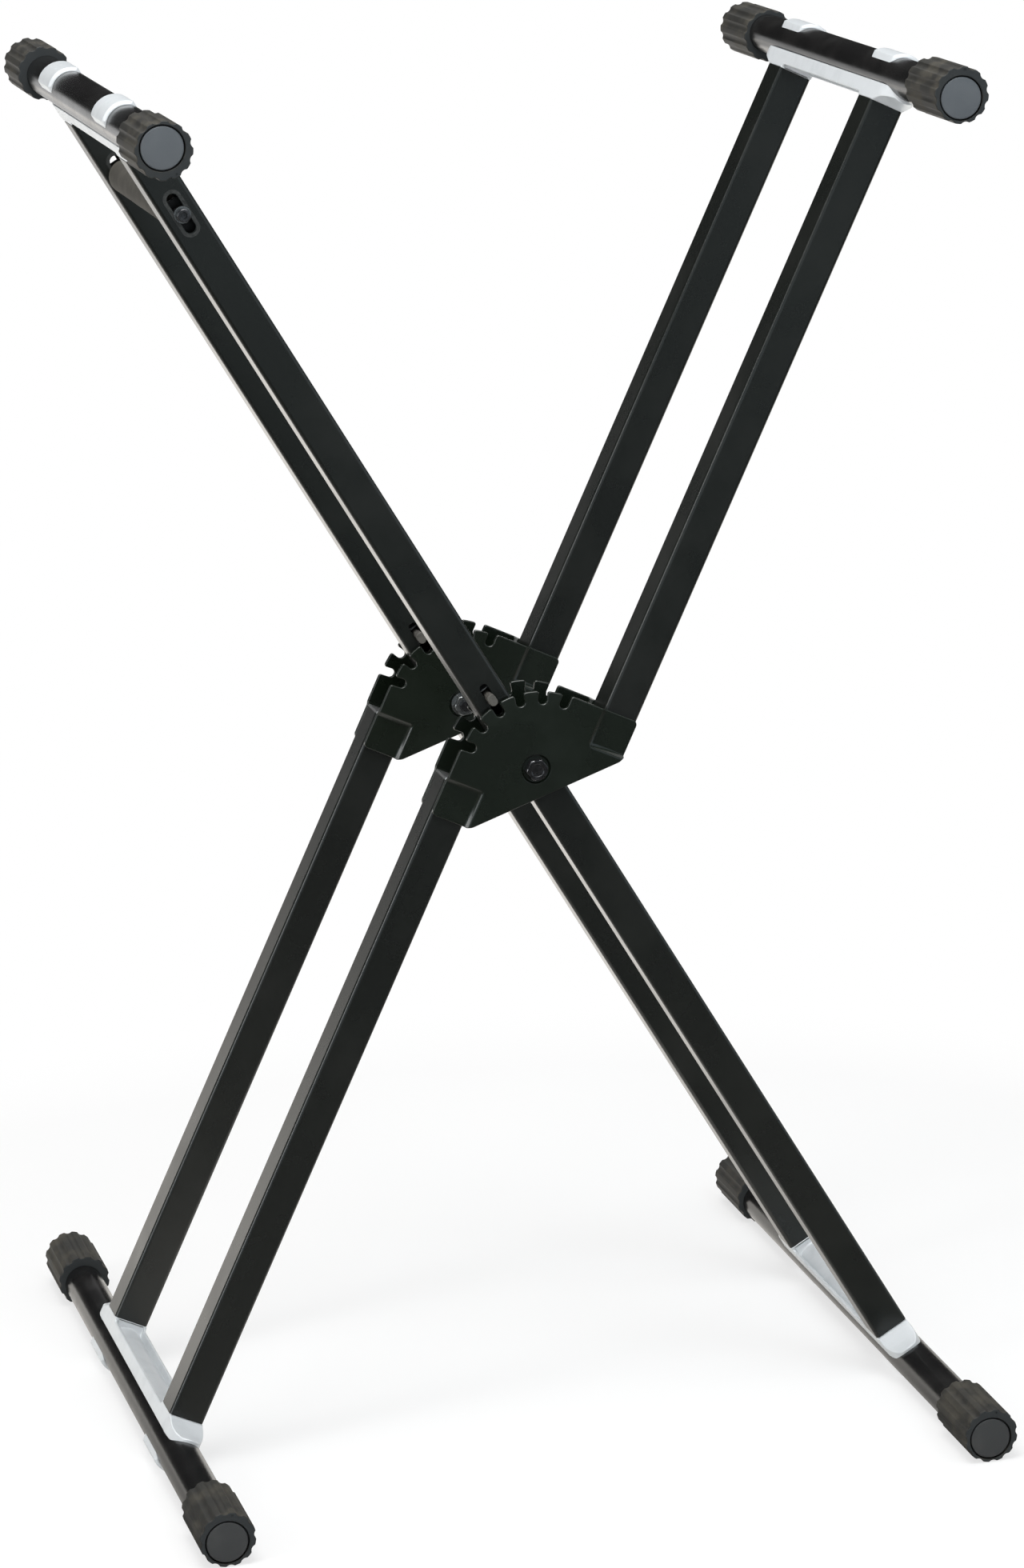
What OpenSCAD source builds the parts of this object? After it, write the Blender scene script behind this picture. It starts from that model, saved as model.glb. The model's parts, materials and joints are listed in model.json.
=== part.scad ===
// Double-braced folding X stand for a keyboard, with a pull grip that frees its height lock.
// X runs across the stand, Y runs back along the fold axis and Z is up.
// The origin is on the floor, under the middle of the stand.
// The outer frame leans right and carries the notched brackets. Its upper and lower arms lie
// side by side, one each side of the fold axis. The inner frame leans left, and its two straight
// arms pass through the brackets.

/* [Stance] */
// Notches between the folded stand and the modelled one
notch_at_rest = 3; // [1:1:4]
// Angle from one height notch to the next, in degrees
notch_step = 18.6; // [17:0.1:19]
// Number of height notches in each bracket plate
notch_count = 6; // [5:1:6]

/* [Frames] */
// Fold axis to cross tube axis along the inner frame
inner_reach = 500; // [490:1:600]
// Fold axis to cross tube axis along the outer frame
outer_reach = 503.4; // [500:0.2:600]
// Distance of the outer frame's arms to the side of the fold axis
outer_offset = 40.6; // [40.4:0.1:46]
// Middle of the front arms to the middle of the rear arms
arm_spacing = 194; // [180:1:220]
// Overall length of the top cross tubes, over their caps
top_span = 462; // [440:1:560]
// Overall length of the bottom cross tubes, over their caps
bottom_span = 562; // [520:1:700]

/* [Arms] */
// Width of an arm's tube, seen from the front
arm_w = 24; // [23:0.5:25]
// Depth of an arm's tube, along the fold axis
arm_d = 26; // [24:0.5:28]
// Wall of an arm's tube
arm_wall = 1.6; // [1.2:0.1:2]
// Outside corner radius of an arm's tube
arm_corner = 2.4; // [2.1:0.1:3]

/* [Cross tubes] */
// Outside diameter of the cross tubes
cross_d = 26.4; // [26:0.1:27]
// Wall of the cross tubes
cross_wall = 1.6; // [1.2:0.1:2]
// Diameter of the round end plugs
plug_d = 26.6; // [26.4:0.1:27.2]
// Thickness of an end plug's round face
plug_face = 3.6; // [2.5:0.1:4.5]
// Length of an end plug inside its tube
plug_depth = 14; // [8:1:20]

/* [Levelling caps] */
// Length of a rubber cap
cap_len = 58; // [45:1:62]
// Diameter of a cap over its ribs
cap_d = 36.2; // [36:0.1:37.2]
// Distance of a cap's outline from the axis that it turns about
cap_throw = 1.9; // [1:0.1:2]
// Gap between an end plug and the cap round it
plug_gap = 0.9; // [0.4:0.1:1]
// Number of flutes round a cap
cap_flutes = 12; // [10:1:14]
// Radius of a flute
flute_r = 3.9; // [3:0.1:4.2]
// Depth of a flute
flute_depth = 1.2; // [0.6:0.1:1.4]
// Direction in which the front cap is set at the top left, in degrees above +X
turn_top_left_front = -64; // [-180:1:180]
// Direction in which the rear cap is set at the top left
turn_top_left_rear = 128; // [-180:1:180]
// Direction in which the front cap is set at the top right
turn_top_right_front = 82; // [-180:1:180]
// Direction in which the rear cap is set at the top right
turn_top_right_rear = -62; // [-180:1:180]
// Direction in which the four bottom caps are set
turn_bottom = 78; // [0:1:180]

/* [Saddles and pads] */
// Cross tube axis to the end face of an arm
arm_stop = 20; // [18:0.1:22]
// Width of a saddle across its tube
saddle_w = 23.6; // [22:0.1:24]
// Overall length of a saddle
saddle_len = 276; // [262:1:290]
// Length of a saddle's tapered ends
saddle_taper = 22; // [14:1:26]
// Cross tube axis to the lower edge of a saddle's sides
saddle_skirt = 8; // [7:0.1:9]
// Thickness of a saddle's shell over the tube
saddle_shell = 2.2; // [1.8:0.1:2.6]
// Thickness of a saddle's sides
saddle_side = 2; // [1.6:0.1:3]
// Height of the arms' seats above the sides between them
saddle_drop = 3; // [1:0.2:3.6]
// Depth of the trough between the sides, from the seats
saddle_scoop = 9; // [8.4:0.2:10]
// Length of a pad along its tube
pad_len = 42; // [36:1:50]
// Thickness of a pad over the tube
pad_wall = 2.6; // [2.5:0.1:2.8]
// Diameter of a tie bolt's shank
tie_d = 6; // [5:0.5:6]
// Diameter of a tie bolt's low head
tie_head_d = 9; // [8:0.5:9.5]
// Height of a tie bolt's low head
tie_head_h = 1.2; // [1:0.1:1.3]
// Length of the threaded insert in an arm's end
insert_len = 20; // [14:1:30]

/* [Brackets] */
// Thickness of a bracket plate
plate_t = 3; // [2.5:0.1:3.5]
// Inward step where a plate lies on an outer arm
joggle = 2.5; // [2.2:0.1:3]
// Length of an outer arm held between its plates
grip_len = 24; // [20:1:26]
// Fold axis to the plates' straight lower edge
skirt = 19.2; // [16:0.2:21]
// Radius over the teeth
tooth_r = 51.6; // [51:0.1:52]
// Depth of a notch
notch_depth = 8.6; // [8:0.1:9]
// Width of a notch
notch_w = 6.1; // [5.9:0.1:6.4]
// Diameter of the dish round the fold bolt
dish_d = 18.8; // [18:0.1:20]
// Depth of the dish round the fold bolt
dish_depth = 1.5; // [1:0.1:1.6]

/* [Fold bolts] */
// Thread diameter of a fold bolt
bolt_d = 8; // [7:0.5:8]
// Width of the bolt head and nut across their flats
hex_flats = 13; // [12:0.5:13]
// Height of the bolt head
head_h = 5.3; // [4:0.1:6]
// Height of the nut
nut_h = 6.5; // [5:0.1:7]
// Outside diameter of the sleeve that an inner arm turns on
sleeve_d = 12; // [11:0.5:13]
// Outside diameter of the slip washers beside an inner arm
slip_d = 22; // [18:0.5:23]

/* [Height lock] */
// Width of a lock pin across its notch
pin_w = 5.5; // [5:0.1:5.6]
// Height of a lock pin along its arm
pin_h = 8; // [7:0.1:8.6]
// Length of a lock pin that stands out past each plate
pin_end = 1.5; // [0.5:0.1:2]
// Distance that the pins stand clear of the teeth, as modelled
pin_clear = 0.5; // [0.4:0.1:1]
// Further distance that the pins can be lifted
pin_spare = 6.6; // [4:0.1:7]
// Width of a pull bar
bar_w = 12; // [10:0.5:13]
// Thickness of a pull bar
bar_t = 4; // [3:0.5:5]
// Fold axis to the grip bolts when the pins are seated
grip_at = 424; // [400:1:430]
// Number of turns in a return spring
spring_turns = 10; // [6:1:12]
// Wire diameter of a return spring
spring_wire = 1.6; // [1.2:0.1:1.8]
// Outside diameter of a return spring
spring_d = 18.4; // [17.4:0.1:18.6]
// Length of a return spring as modelled
spring_len = 40; // [34:1:46]

/* [Grip] */
// Diameter of the foam grip
grip_d = 22.5; // [18:0.5:26]
// Diameter of the grip's core rod
rod_d = 12; // [10:0.5:14]
// Thread diameter of the grip bolts
grip_bolt_d = 5; // [4:0.5:5]
// Diameter of the guide bushes in the grip slots
bush_d = 7; // [6.5:0.1:8]

/* [Hidden] */
$fn = 64;

front = -1;
rear = 1;

// Clearances
turn_fit = 0.06;
seat_fit = 0.05;
slide_gap = 0.2;
face_gap = 0.1;
hole_gap = 0.2;

// Flutes of a cap, and how far below its middle the lowest edge of a rib reaches
flute_pitch = 360 / cap_flutes;
flute_at = cap_d / 2 - flute_depth + flute_r;
flute_half = acos((cap_d * cap_d / 4 + flute_at * flute_at - flute_r * flute_r) / (cap_d * flute_at));
flute_off = abs((((turn_bottom + 90) % flute_pitch) + flute_pitch) % flute_pitch - flute_pitch / 2);
floor_r = cap_d / 2 * cos(max(0, flute_half - flute_off));

// The fold angle, and the lean that brings all four cross tubes level
fold_angle = notch_at_rest * notch_step;
outer_angle = atan2(
    inner_reach * sin(fold_angle) + outer_offset,
    outer_reach - inner_reach * cos(fold_angle));
inner_angle = outer_angle + fold_angle;
cross_x = outer_reach * cos(outer_angle) + outer_offset * sin(outer_angle);
cross_z = inner_reach * sin(inner_angle);
right_out = max(cos(turn_top_right_front), cos(turn_top_right_rear));
pivot_x = -cap_throw * (right_out + cos(turn_bottom)) / 2;
pivot_z = cross_z + floor_r - cap_throw * sin(turn_bottom);

// Levels measured out from an arm's middle plane
arm_side = arm_d / 2;
plate_in = arm_side + joggle;
plate_out = plate_in + plate_t;
dish_in = plate_in - dish_depth;
dish_floor = plate_out - dish_depth;
slip_in = arm_side + face_gap;

// Bracket plate
plate_half = outer_offset + arm_w / 2;
held_from = plate_half - grip_len;
step_run = joggle;
notch_r = tooth_r - notch_depth;
fan_angle = (notch_count - 1) * notch_step;
nut_washer_t = 1.5;
nut_washer_d = 16;
bolt_tip = 2.5;
weld_plug_t = 1.5;
weld_plug_len = 8;

// Height lock, measured along an inner arm from the fold axis
pin_seat = notch_r + slide_gap;
pin_lift = notch_depth + pin_clear - slide_gap;
pin_low = pin_seat + pin_lift;
pin_high = pin_low + pin_h;
slot_low = pin_seat - slide_gap;
slot_high = pin_high + pin_spare + slide_gap;
pin_reach = plate_out + pin_end;
bar_tail = 3;
bar_head = 9;
slot_spare = 5;
grip_x = grip_at + pin_lift;
grip_slot_low = grip_at - bush_d / 2 - 3 * slide_gap;
grip_slot_high = grip_x + pin_spare + bush_d / 2 + slot_spare;
spring_low = pin_high + slide_gap;
stop_from = spring_low + spring_len + slide_gap;
stop_len = 8;

// Return springs, with the least gap between the turns of one
coil_rings = 8;
coil_sides = 6;
spring_path = coil_path(spring_d, spring_wire, spring_turns, spring_len);
spring_gap = min([
    for (i = [0 : len(spring_path) - 1], j = [i + coil_rings / 2 : 1 : len(spring_path) - 1])
        norm(spring_path[i] - spring_path[j])
]) - spring_wire;
echo(spring_gap = spring_gap);

// Grip
grip_gap = 0.4;
grip_half = arm_spacing / 2 - arm_side - grip_gap;
foam_half = grip_half - 1;
washer_d = 11;
washer_t = 1;
cap_screw_d = 8.5;
cap_screw_h = 5;
screw_depth = 16;

// Draws a flat shape in the XZ plane and gives it depth from y0 to y1
module along_y(y0, y1) {
    translate([0, y1, 0]) rotate([90, 0, 0]) linear_extrude(y1 - y0) children();
}

// Draws a flat shape, whose first axis is Y and second is Z, from x0 to x1
module along_x(x0, x1) {
    translate([x0, 0, 0]) rotate([90, 0, 90]) linear_extrude(x1 - x0) children();
}

module rod_y(d, y0, y1) {
    along_y(y0, y1) circle(d = d);
}

module round_rect(a, b, r) {
    square([a - 2 * r, b], center = true);
    square([a, b - 2 * r], center = true);
    for (x = [-1, 1], y = [-1, 1])
        translate([x * (a / 2 - r), y * (b / 2 - r)]) circle(r = r);
}

// A slot with round ends, from x0 to x1
module slot(x0, x1, w) {
    translate([x0 + w / 2, -w / 2]) square([x1 - x0 - w, w]);
    translate([x0 + w / 2, 0]) circle(d = w);
    translate([x1 - w / 2, 0]) circle(d = w);
}

// At the front or rear arms
module at_side(side) {
    translate([0, side * arm_spacing / 2, 0]) children();
}

module at_fold() {
    translate([pivot_x, 0, pivot_z]) children();
}

// In a frame's own axes X runs up the arms and Z points up and left of them
module on_outer() {
    at_fold() rotate([0, -outer_angle, 0]) children();
}

module on_inner() {
    at_fold() rotate([0, -inner_angle, 0]) children();
}

// At a cross tube Y runs along the tube and Z points to the arms
module outer_top() {
    on_outer() translate([outer_reach, 0, -outer_offset]) rotate([0, -90, 0]) children();
}

module outer_bottom() {
    on_outer() translate([-outer_reach, 0, outer_offset]) rotate([0, 90, 0]) children();
}

module inner_top() {
    on_inner() translate([inner_reach, 0, 0]) rotate([0, -90, 0]) children();
}

module inner_bottom() {
    on_inner() translate([-inner_reach, 0, 0]) rotate([0, 90, 0]) children();
}

// At a cross tube, with X and Z as on the whole stand
module level_at(side_x, side_z) {
    translate([pivot_x + side_x, 0, pivot_z + side_z]) children();
}

// Arms

module arm_section(shrink = 0) {
    round_rect(arm_d - 2 * shrink, arm_w - 2 * shrink, arm_corner - shrink);
}

module arm_tube(x0, x1) {
    along_x(x0, x1) difference() {
        arm_section();
        arm_section(arm_wall);
    }
}

module outer_arm(side, top) {
    color("#1c1e1c") on_outer() translate([0, side * arm_spacing / 2, -top * outer_offset])
        if (top > 0) arm_tube(held_from, outer_reach - arm_stop);
        else arm_tube(arm_stop - outer_reach, -held_from);
}

module inner_arm(side) {
    color("#1c1e1c") on_inner() at_side(side) difference() {
        arm_tube(arm_stop - inner_reach, inner_reach - arm_stop);
        rod_y(sleeve_d + 2 * turn_fit, -arm_d, arm_d);
        along_y(-arm_d, arm_d) slot(slot_low, slot_high, pin_w + 2 * slide_gap);
        along_y(-arm_d, arm_d) slot(grip_slot_low, grip_slot_high, bush_d + 2 * slide_gap);
    }
}

// The closed ends of the outer arms, between the bracket plates
module arm_plug() {
    along_x(-weld_plug_t, 0) arm_section();
    along_x(0, weld_plug_len) arm_section(arm_wall + seat_fit);
}

module outer_arm_plugs() {
    color("#8b8e8c") on_outer() for (side = [front, rear], turn = [0, 180])
        at_side(side) rotate([0, turn, 0])
            translate([held_from, 0, -outer_offset]) arm_plug();
}

// Cross tubes, saddles, pads and their tie bolts

module cross_tube(span) {
    color("#161616") difference() {
        rod_y(cross_d, plug_face - span / 2, span / 2 - plug_face);
        rod_y(cross_d - 2 * cross_wall, -span, span);
        for (side = [front, rear])
            translate([0, side * arm_spacing / 2, -cross_d])
                cylinder(d = tie_d + 2 * hole_gap, h = 2 * cross_d);
    }
}

module end_plugs(span) {
    shank_d = cross_d - 2 * cross_wall - 2 * seat_fit;
    tube_end = span / 2 - plug_face;
    for (face = [0, 1]) mirror([0, face, 0]) {
        rod_y(plug_d, tube_end, span / 2);
        rod_y(shank_d, tube_end - plug_depth, tube_end);
    }
}

// The cylinder that scoops a hollow of the given depth between y0 and y1
module scoop(y0, y1, high, depth) {
    half = (y1 - y0) / 2;
    r = (half * half + depth * depth) / (2 * depth);
    translate([-arm_w, (y0 + y1) / 2, high + r - depth])
        rotate([0, 90, 0]) cylinder(r = r, h = 2 * arm_w, $fn = 720);
}

// Cuts down from the arms' seats between the two, with rounded corners
module hollow(width, length, depth) {
    along_x(-width / 2, width / 2)
        translate([0, arm_stop]) round_rect(length, 2 * depth, 0.9 * depth);
}

module saddle_outline() {
    straight = saddle_len - 2 * saddle_taper;
    square([saddle_w, straight], center = true);
    for (y = [-1, 1])
        translate([0, y * straight / 2]) scale([1, 2 * saddle_taper / saddle_w]) circle(d = saddle_w);
}

module saddle() {
    seat_in = arm_spacing / 2 - arm_side - 1;
    seat_out = arm_spacing / 2 + arm_side + 1;
    shell_r = cross_d / 2 + saddle_shell;
    end_drop = arm_stop - shell_r + saddle_shell / 2;
    color("#c8cbcc") difference() {
        intersection() {
            union() {
                rod_y(2 * shell_r, -saddle_len / 2, saddle_len / 2);
                difference() {
                    rod_y(4 * arm_stop, -saddle_len / 2, saddle_len / 2);
                    hollow(2 * saddle_w, 2 * seat_in, saddle_drop);
                    hollow(saddle_w - 2 * saddle_side, 2 * seat_in, saddle_scoop);
                    scoop(seat_out, saddle_len - seat_out, arm_stop, end_drop);
                    scoop(seat_out - saddle_len, -seat_out, arm_stop, end_drop);
                }
            }
            translate([0, 0, saddle_skirt]) linear_extrude(arm_stop - saddle_skirt) saddle_outline();
        }
        rod_y(cross_d + 2 * seat_fit, -saddle_len, saddle_len);
        for (side = [front, rear])
            at_side(side) cylinder(d = tie_d + 2 * hole_gap, h = 2 * arm_stop);
    }
}

module pad(side) {
    pad_r = cross_d / 2 + pad_wall;
    color("#c8cbcc") at_side(side) difference() {
        intersection() {
            rod_y(2 * pad_r, -pad_len / 2, pad_len / 2);
            translate([-saddle_w / 2, -pad_len / 2, -pad_r]) cube([saddle_w, pad_len, pad_r]);
        }
        rod_y(cross_d + 2 * seat_fit, -pad_len, pad_len);
        translate([0, 0, -cross_d / 2 - tie_head_h - hole_gap])
            cylinder(d = tie_head_d + 2 * hole_gap, h = cross_d / 2);
    }
}

// Tie bolts run from under the pads, through the tube and saddle, into the arms
module tie_bolts() {
    for (side = [front, rear]) translate([0, side * arm_spacing / 2, -cross_d / 2]) {
        translate([0, 0, -tie_head_h]) cylinder(d = tie_head_d, h = tie_head_h);
        cylinder(d = tie_d, h = cross_d / 2 + arm_stop + insert_len - 3);
    }
}

module arm_inserts() {
    for (side = [front, rear]) translate([0, side * arm_spacing / 2, arm_stop]) difference() {
        rotate([0, 0, 90]) linear_extrude(insert_len) arm_section(arm_wall + seat_fit);
        translate([0, 0, -1]) cylinder(d = tie_d + 2 * seat_fit, h = insert_len + 2);
    }
}

// The like pieces at both ends of each frame

module outer_arm_inserts() {
    color("#8b8e8c") {
        outer_top() arm_inserts();
        outer_bottom() arm_inserts();
    }
}

module outer_tie_bolts() {
    color("#2a2a2b") {
        outer_top() tie_bolts();
        outer_bottom() tie_bolts();
    }
}

module outer_end_plugs() {
    color("#5c6064") {
        outer_top() end_plugs(top_span);
        outer_bottom() end_plugs(bottom_span);
    }
}

module inner_arm_inserts() {
    color("#8b8e8c") {
        inner_top() arm_inserts();
        inner_bottom() arm_inserts();
    }
}

module inner_tie_bolts() {
    color("#2a2a2b") {
        inner_top() tie_bolts();
        inner_bottom() tie_bolts();
    }
}

module inner_end_plugs() {
    color("#5c6064") {
        inner_top() end_plugs(top_span);
        inner_bottom() end_plugs(bottom_span);
    }
}

// Brackets

module plate_outline() {
    big = 2 * plate_half;
    difference() {
        square(2 * plate_half, center = true);
        difference() {
            translate([-plate_half * sin(fan_angle - 90), 0]) square(big);
            circle(r = tooth_r, $fn = 128);
        }
        for (k = [0 : notch_count - 1])
            rotate(k * notch_step) slot(notch_r, big, notch_w);
        rotate(-45) translate([-big, -skirt - big]) square([2 * big, big]);
        circle(d = bolt_d + 2 * hole_gap);
    }
}

module bracket_plate(side, out) {
    color("#1c1e1c") on_outer() at_side(side) mirror([0, (1 - out) / 2, 0]) difference() {
        union() {
            difference() {
                along_y(plate_in, plate_out) plate_outline();
                for (turn = [0, 180]) rotate([0, turn, 0])
                    translate([-plate_half - 1, 0, plate_half - arm_w - joggle])
                        cube([grip_len + step_run + 1, plate_out + 1, arm_w + joggle + 1]);
            }
            for (turn = [0, 180]) rotate([0, turn, 0]) joggled_corner();
            rod_y(dish_d + 2 * plate_t, dish_in, plate_in);
        }
        rod_y(dish_d, dish_floor, plate_out + 1);
        rod_y(bolt_d + 2 * hole_gap, 0, plate_out);
    }
}

// The stepped corner that lies on one arm, with sloping sides up to the plate
module joggled_corner() {
    x0 = -plate_half;
    z0 = plate_half - arm_w - joggle;
    run_x = grip_len + step_run;
    run_z = arm_w + joggle;
    intersection() {
        translate([x0, arm_side, z0]) cube([run_x, joggle + plate_t, run_z]);
        union() {
            translate([0, 0, z0]) linear_extrude(run_z) polygon([
                [x0, 0], [x0, arm_side + plate_t], [x0 + grip_len, arm_side + plate_t],
                [x0 + run_x, plate_out], [x0 + run_x, 0]
            ]);
            translate([x0, 0, 0]) rotate([90, 0, 90]) linear_extrude(run_x) polygon([
                [0, plate_half], [arm_side + plate_t, plate_half], [arm_side + plate_t, z0 + step_run],
                [plate_out, z0], [0, z0]
            ]);
        }
        translate([0, 0, z0]) linear_extrude(run_z) polygon([
            [x0, plate_out], [x0, arm_side], [x0 + grip_len, arm_side],
            [x0 + run_x, plate_in], [x0 + run_x, plate_out]
        ]);
        translate([x0, 0, 0]) rotate([90, 0, 90]) linear_extrude(run_x) polygon([
            [plate_out, plate_half], [arm_side, plate_half], [arm_side, z0 + step_run],
            [plate_in, z0], [plate_out, z0]
        ]);
    }
}

// Fold bolts, each put in from outside with its nut between the brackets

module at_bolts() {
    on_outer() for (side = [front, rear])
        at_side(side) mirror([0, (1 - side) / 2, 0]) children();
}

module hexagon(flats) {
    circle(d = flats / cos(30), $fn = 6);
}

module fold_bolts() {
    color("#2a2a2b") at_bolts() {
        along_y(dish_floor, dish_floor + head_h) hexagon(hex_flats);
        rod_y(bolt_d, -dish_floor - nut_washer_t - nut_h - bolt_tip, dish_floor);
    }
}

module fold_nuts() {
    color("#a9abab") at_bolts() difference() {
        along_y(-dish_floor - nut_washer_t - nut_h, -dish_floor - nut_washer_t) hexagon(hex_flats);
        rod_y(bolt_d + 2 * seat_fit, -3 * arm_d, 0);
    }
}

module fold_nut_washers() {
    color("#a9abab") at_bolts() difference() {
        rod_y(nut_washer_d, -dish_floor - nut_washer_t, -dish_floor);
        rod_y(bolt_d + 2 * seat_fit, -3 * arm_d, 0);
    }
}

module fold_sleeves() {
    color("#b0b2b2") at_bolts() difference() {
        rod_y(sleeve_d, -dish_in, dish_in);
        rod_y(bolt_d + 2 * seat_fit, -arm_d, arm_d);
    }
}

module slip_washers() {
    color("#e4e2da") at_bolts() for (face = [0, 1]) mirror([0, face, 0]) difference() {
        rod_y(slip_d, slip_in, dish_in);
        rod_y(sleeve_d + 2 * seat_fit, 0, arm_d);
    }
}

// Height lock, carried inside the inner arms

module lock_pin(side) {
    color("#7d7f7d") on_inner() at_side(side)
        along_y(-pin_reach, pin_reach) slot(pin_low, pin_high, pin_w);
}

module pull_bar(side) {
    color("#2b2c2c") on_inner() at_side(side) difference() {
        along_y(-bar_t / 2, bar_t / 2) translate([pin_low - bar_tail, -bar_w / 2])
            square([grip_x + bar_head - pin_low + bar_tail, bar_w]);
        along_y(-bar_t, bar_t) slot(pin_low - seat_fit, pin_high + seat_fit, pin_w + 2 * seat_fit);
        translate([grip_x, 0, 0]) rod_y(grip_bolt_d + 2 * seat_fit, -bar_t, bar_t);
    }
}

module spring_stops() {
    color("#8b8e8c") on_inner() for (side = [front, rear]) at_side(side) difference() {
        along_x(stop_from, stop_from + stop_len) arm_section(arm_wall + seat_fit);
        translate([stop_from - 1, -bar_t / 2 - slide_gap, -bar_w / 2 - slide_gap])
            cube([stop_len + 2, bar_t + 2 * slide_gap, bar_w + 2 * slide_gap]);
    }
}

// The middle of a round wire that is wound about X
function coil_path(d, wire, turns, length) = [
    for (i = [0 : coil_rings * turns])
        let (turn = 360 * i / coil_rings, r = (d - wire) / 2)
            [wire / 2 + (length - wire) * i / (coil_rings * turns), r * cos(turn), r * sin(turn)]
];

// The wire as one unbroken skin along its path, with closed ends
module coil(path, wire) {
    last = len(path) - 1;
    points = [
        for (i = [0 : last])
            let (out = [0, path[i][1], path[i][2]] / norm([0, path[i][1], path[i][2]]))
                for (k = [0 : coil_sides - 1])
                    let (lift = 360 * k / coil_sides)
                        path[i] + wire / 2 * (cos(lift) * out + sin(lift) * [1, 0, 0])
    ];
    skin = [
        for (i = [0 : last - 1], k = [0 : coil_sides - 1])
            let (a = i * coil_sides + k, b = i * coil_sides + (k + 1) % coil_sides)
                each [[a, b, b + coil_sides], [a, b + coil_sides, a + coil_sides]]
    ];
    near_cap = [for (k = [1 : coil_sides - 2]) [0, k + 1, k]];
    far_cap = [for (k = [1 : coil_sides - 2]) [0, k, k + 1] + last * coil_sides * [1, 1, 1]];
    polyhedron(points, concat(skin, near_cap, far_cap));
}

module return_spring(side) {
    color("#9a9c9c") on_inner() translate([spring_low, side * arm_spacing / 2, 0])
        coil(spring_path, spring_wire);
}

// Grip between the inner arms, bolted to both pull bars

module at_grip_ends() {
    on_inner() for (side = [front, rear])
        translate([grip_x, side * arm_spacing / 2, 0]) mirror([0, (1 - side) / 2, 0]) children();
}

module grip_rod() {
    color("#3a3a3a") on_inner() translate([grip_x, 0, 0]) difference() {
        rod_y(rod_d, -grip_half, grip_half);
        for (face = [0, 1]) mirror([0, face, 0])
            rod_y(grip_bolt_d + 2 * seat_fit, grip_half - screw_depth, grip_half + 1);
    }
}

module grip_sleeve() {
    color("#3b3935") on_inner() translate([grip_x, 0, 0]) difference() {
        rod_y(grip_d, -foam_half, foam_half);
        rod_y(rod_d + 2 * seat_fit, -arm_spacing, arm_spacing);
    }
}

module guide_bushes() {
    outer_end = arm_side + slide_gap;
    inner_end = -arm_side - grip_gap;
    color("#55585a") at_grip_ends() difference() {
        union() {
            rod_y(bush_d, bar_t / 2, outer_end);
            rod_y(bush_d, inner_end, -bar_t / 2);
        }
        rod_y(grip_bolt_d + 2 * seat_fit, -arm_d, arm_d);
    }
}

module grip_washers() {
    color("#b0b2b2") at_grip_ends() difference() {
        rod_y(washer_d, arm_side + slide_gap, arm_side + slide_gap + washer_t);
        rod_y(grip_bolt_d + 2 * seat_fit, 0, 2 * arm_d);
    }
}

module grip_bolts() {
    under_head = arm_side + slide_gap + washer_t;
    color("#232324") at_grip_ends() difference() {
        union() {
            rod_y(cap_screw_d, under_head, under_head + cap_screw_h);
            rod_y(grip_bolt_d, 1 - arm_side - grip_gap - screw_depth, under_head);
        }
        along_y(under_head + cap_screw_h / 2, under_head + 2 * cap_screw_h) hexagon(grip_bolt_d * 0.8);
    }
}

// Levelling caps

module cap_outline(turn) {
    difference() {
        circle(d = cap_d);
        for (k = [0 : cap_flutes - 1])
            rotate(turn + (k + 0.5) * flute_pitch) translate([flute_at, 0]) circle(r = flute_r);
    }
}

// A cap's thickest wall is under one of its ribs, in the direction that it is turned to
module cap(span, side, turn) {
    color("#2b2a27") mirror([0, (1 - side) / 2, 0]) difference() {
        translate([cap_throw * cos(turn), 0, cap_throw * sin(turn)])
            along_y(span / 2 - cap_len, span / 2) cap_outline(turn);
        rod_y(cross_d + 2 * turn_fit, 0, span);
        rod_y(plug_d + 2 * plug_gap, span / 2 - plug_face - hole_gap, span);
    }
}

module cap_top_left(side, turn) {
    level_at(inner_reach * cos(inner_angle), cross_z) cap(top_span, side, turn);
}

module cap_top_right(side, turn) {
    level_at(cross_x, cross_z) cap(top_span, side, turn);
}

module cap_bottom_left(side) {
    level_at(-cross_x, -cross_z) cap(bottom_span, side, turn_bottom);
}

module cap_bottom_right(side) {
    level_at(-inner_reach * cos(inner_angle), -cross_z) cap(bottom_span, side, turn_bottom);
}

outer_arm(front, 1);  // outer_upper_tube_front
outer_arm(rear, 1);  // outer_upper_tube_rear
outer_arm(front, -1);  // outer_lower_tube_front
outer_arm(rear, -1);  // outer_lower_tube_rear
outer_top() cross_tube(top_span);  // outer_top_cross_tube
outer_bottom() cross_tube(bottom_span);  // outer_bottom_cross_tube
outer_top() saddle();  // outer_top_saddle
outer_bottom() saddle();  // outer_bottom_saddle
outer_top() pad(front);  // outer_top_pad_front
outer_top() pad(rear);  // outer_top_pad_rear
outer_bottom() pad(front);  // outer_bottom_pad_front
outer_bottom() pad(rear);  // outer_bottom_pad_rear
outer_arm_inserts();
outer_tie_bolts();
outer_end_plugs();
outer_arm_plugs();
bracket_plate(front, -1);  // bracket_plate_front_outside
bracket_plate(front, 1);  // bracket_plate_front_inside
bracket_plate(rear, -1);  // bracket_plate_rear_inside
bracket_plate(rear, 1);  // bracket_plate_rear_outside
fold_bolts();
fold_nuts();
fold_nut_washers();
fold_sleeves();
slip_washers();
inner_arm(front);  // inner_tube_front
inner_arm(rear);  // inner_tube_rear
inner_top() cross_tube(top_span);  // inner_top_cross_tube
inner_bottom() cross_tube(bottom_span);  // inner_bottom_cross_tube
inner_top() saddle();  // inner_top_saddle
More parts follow.
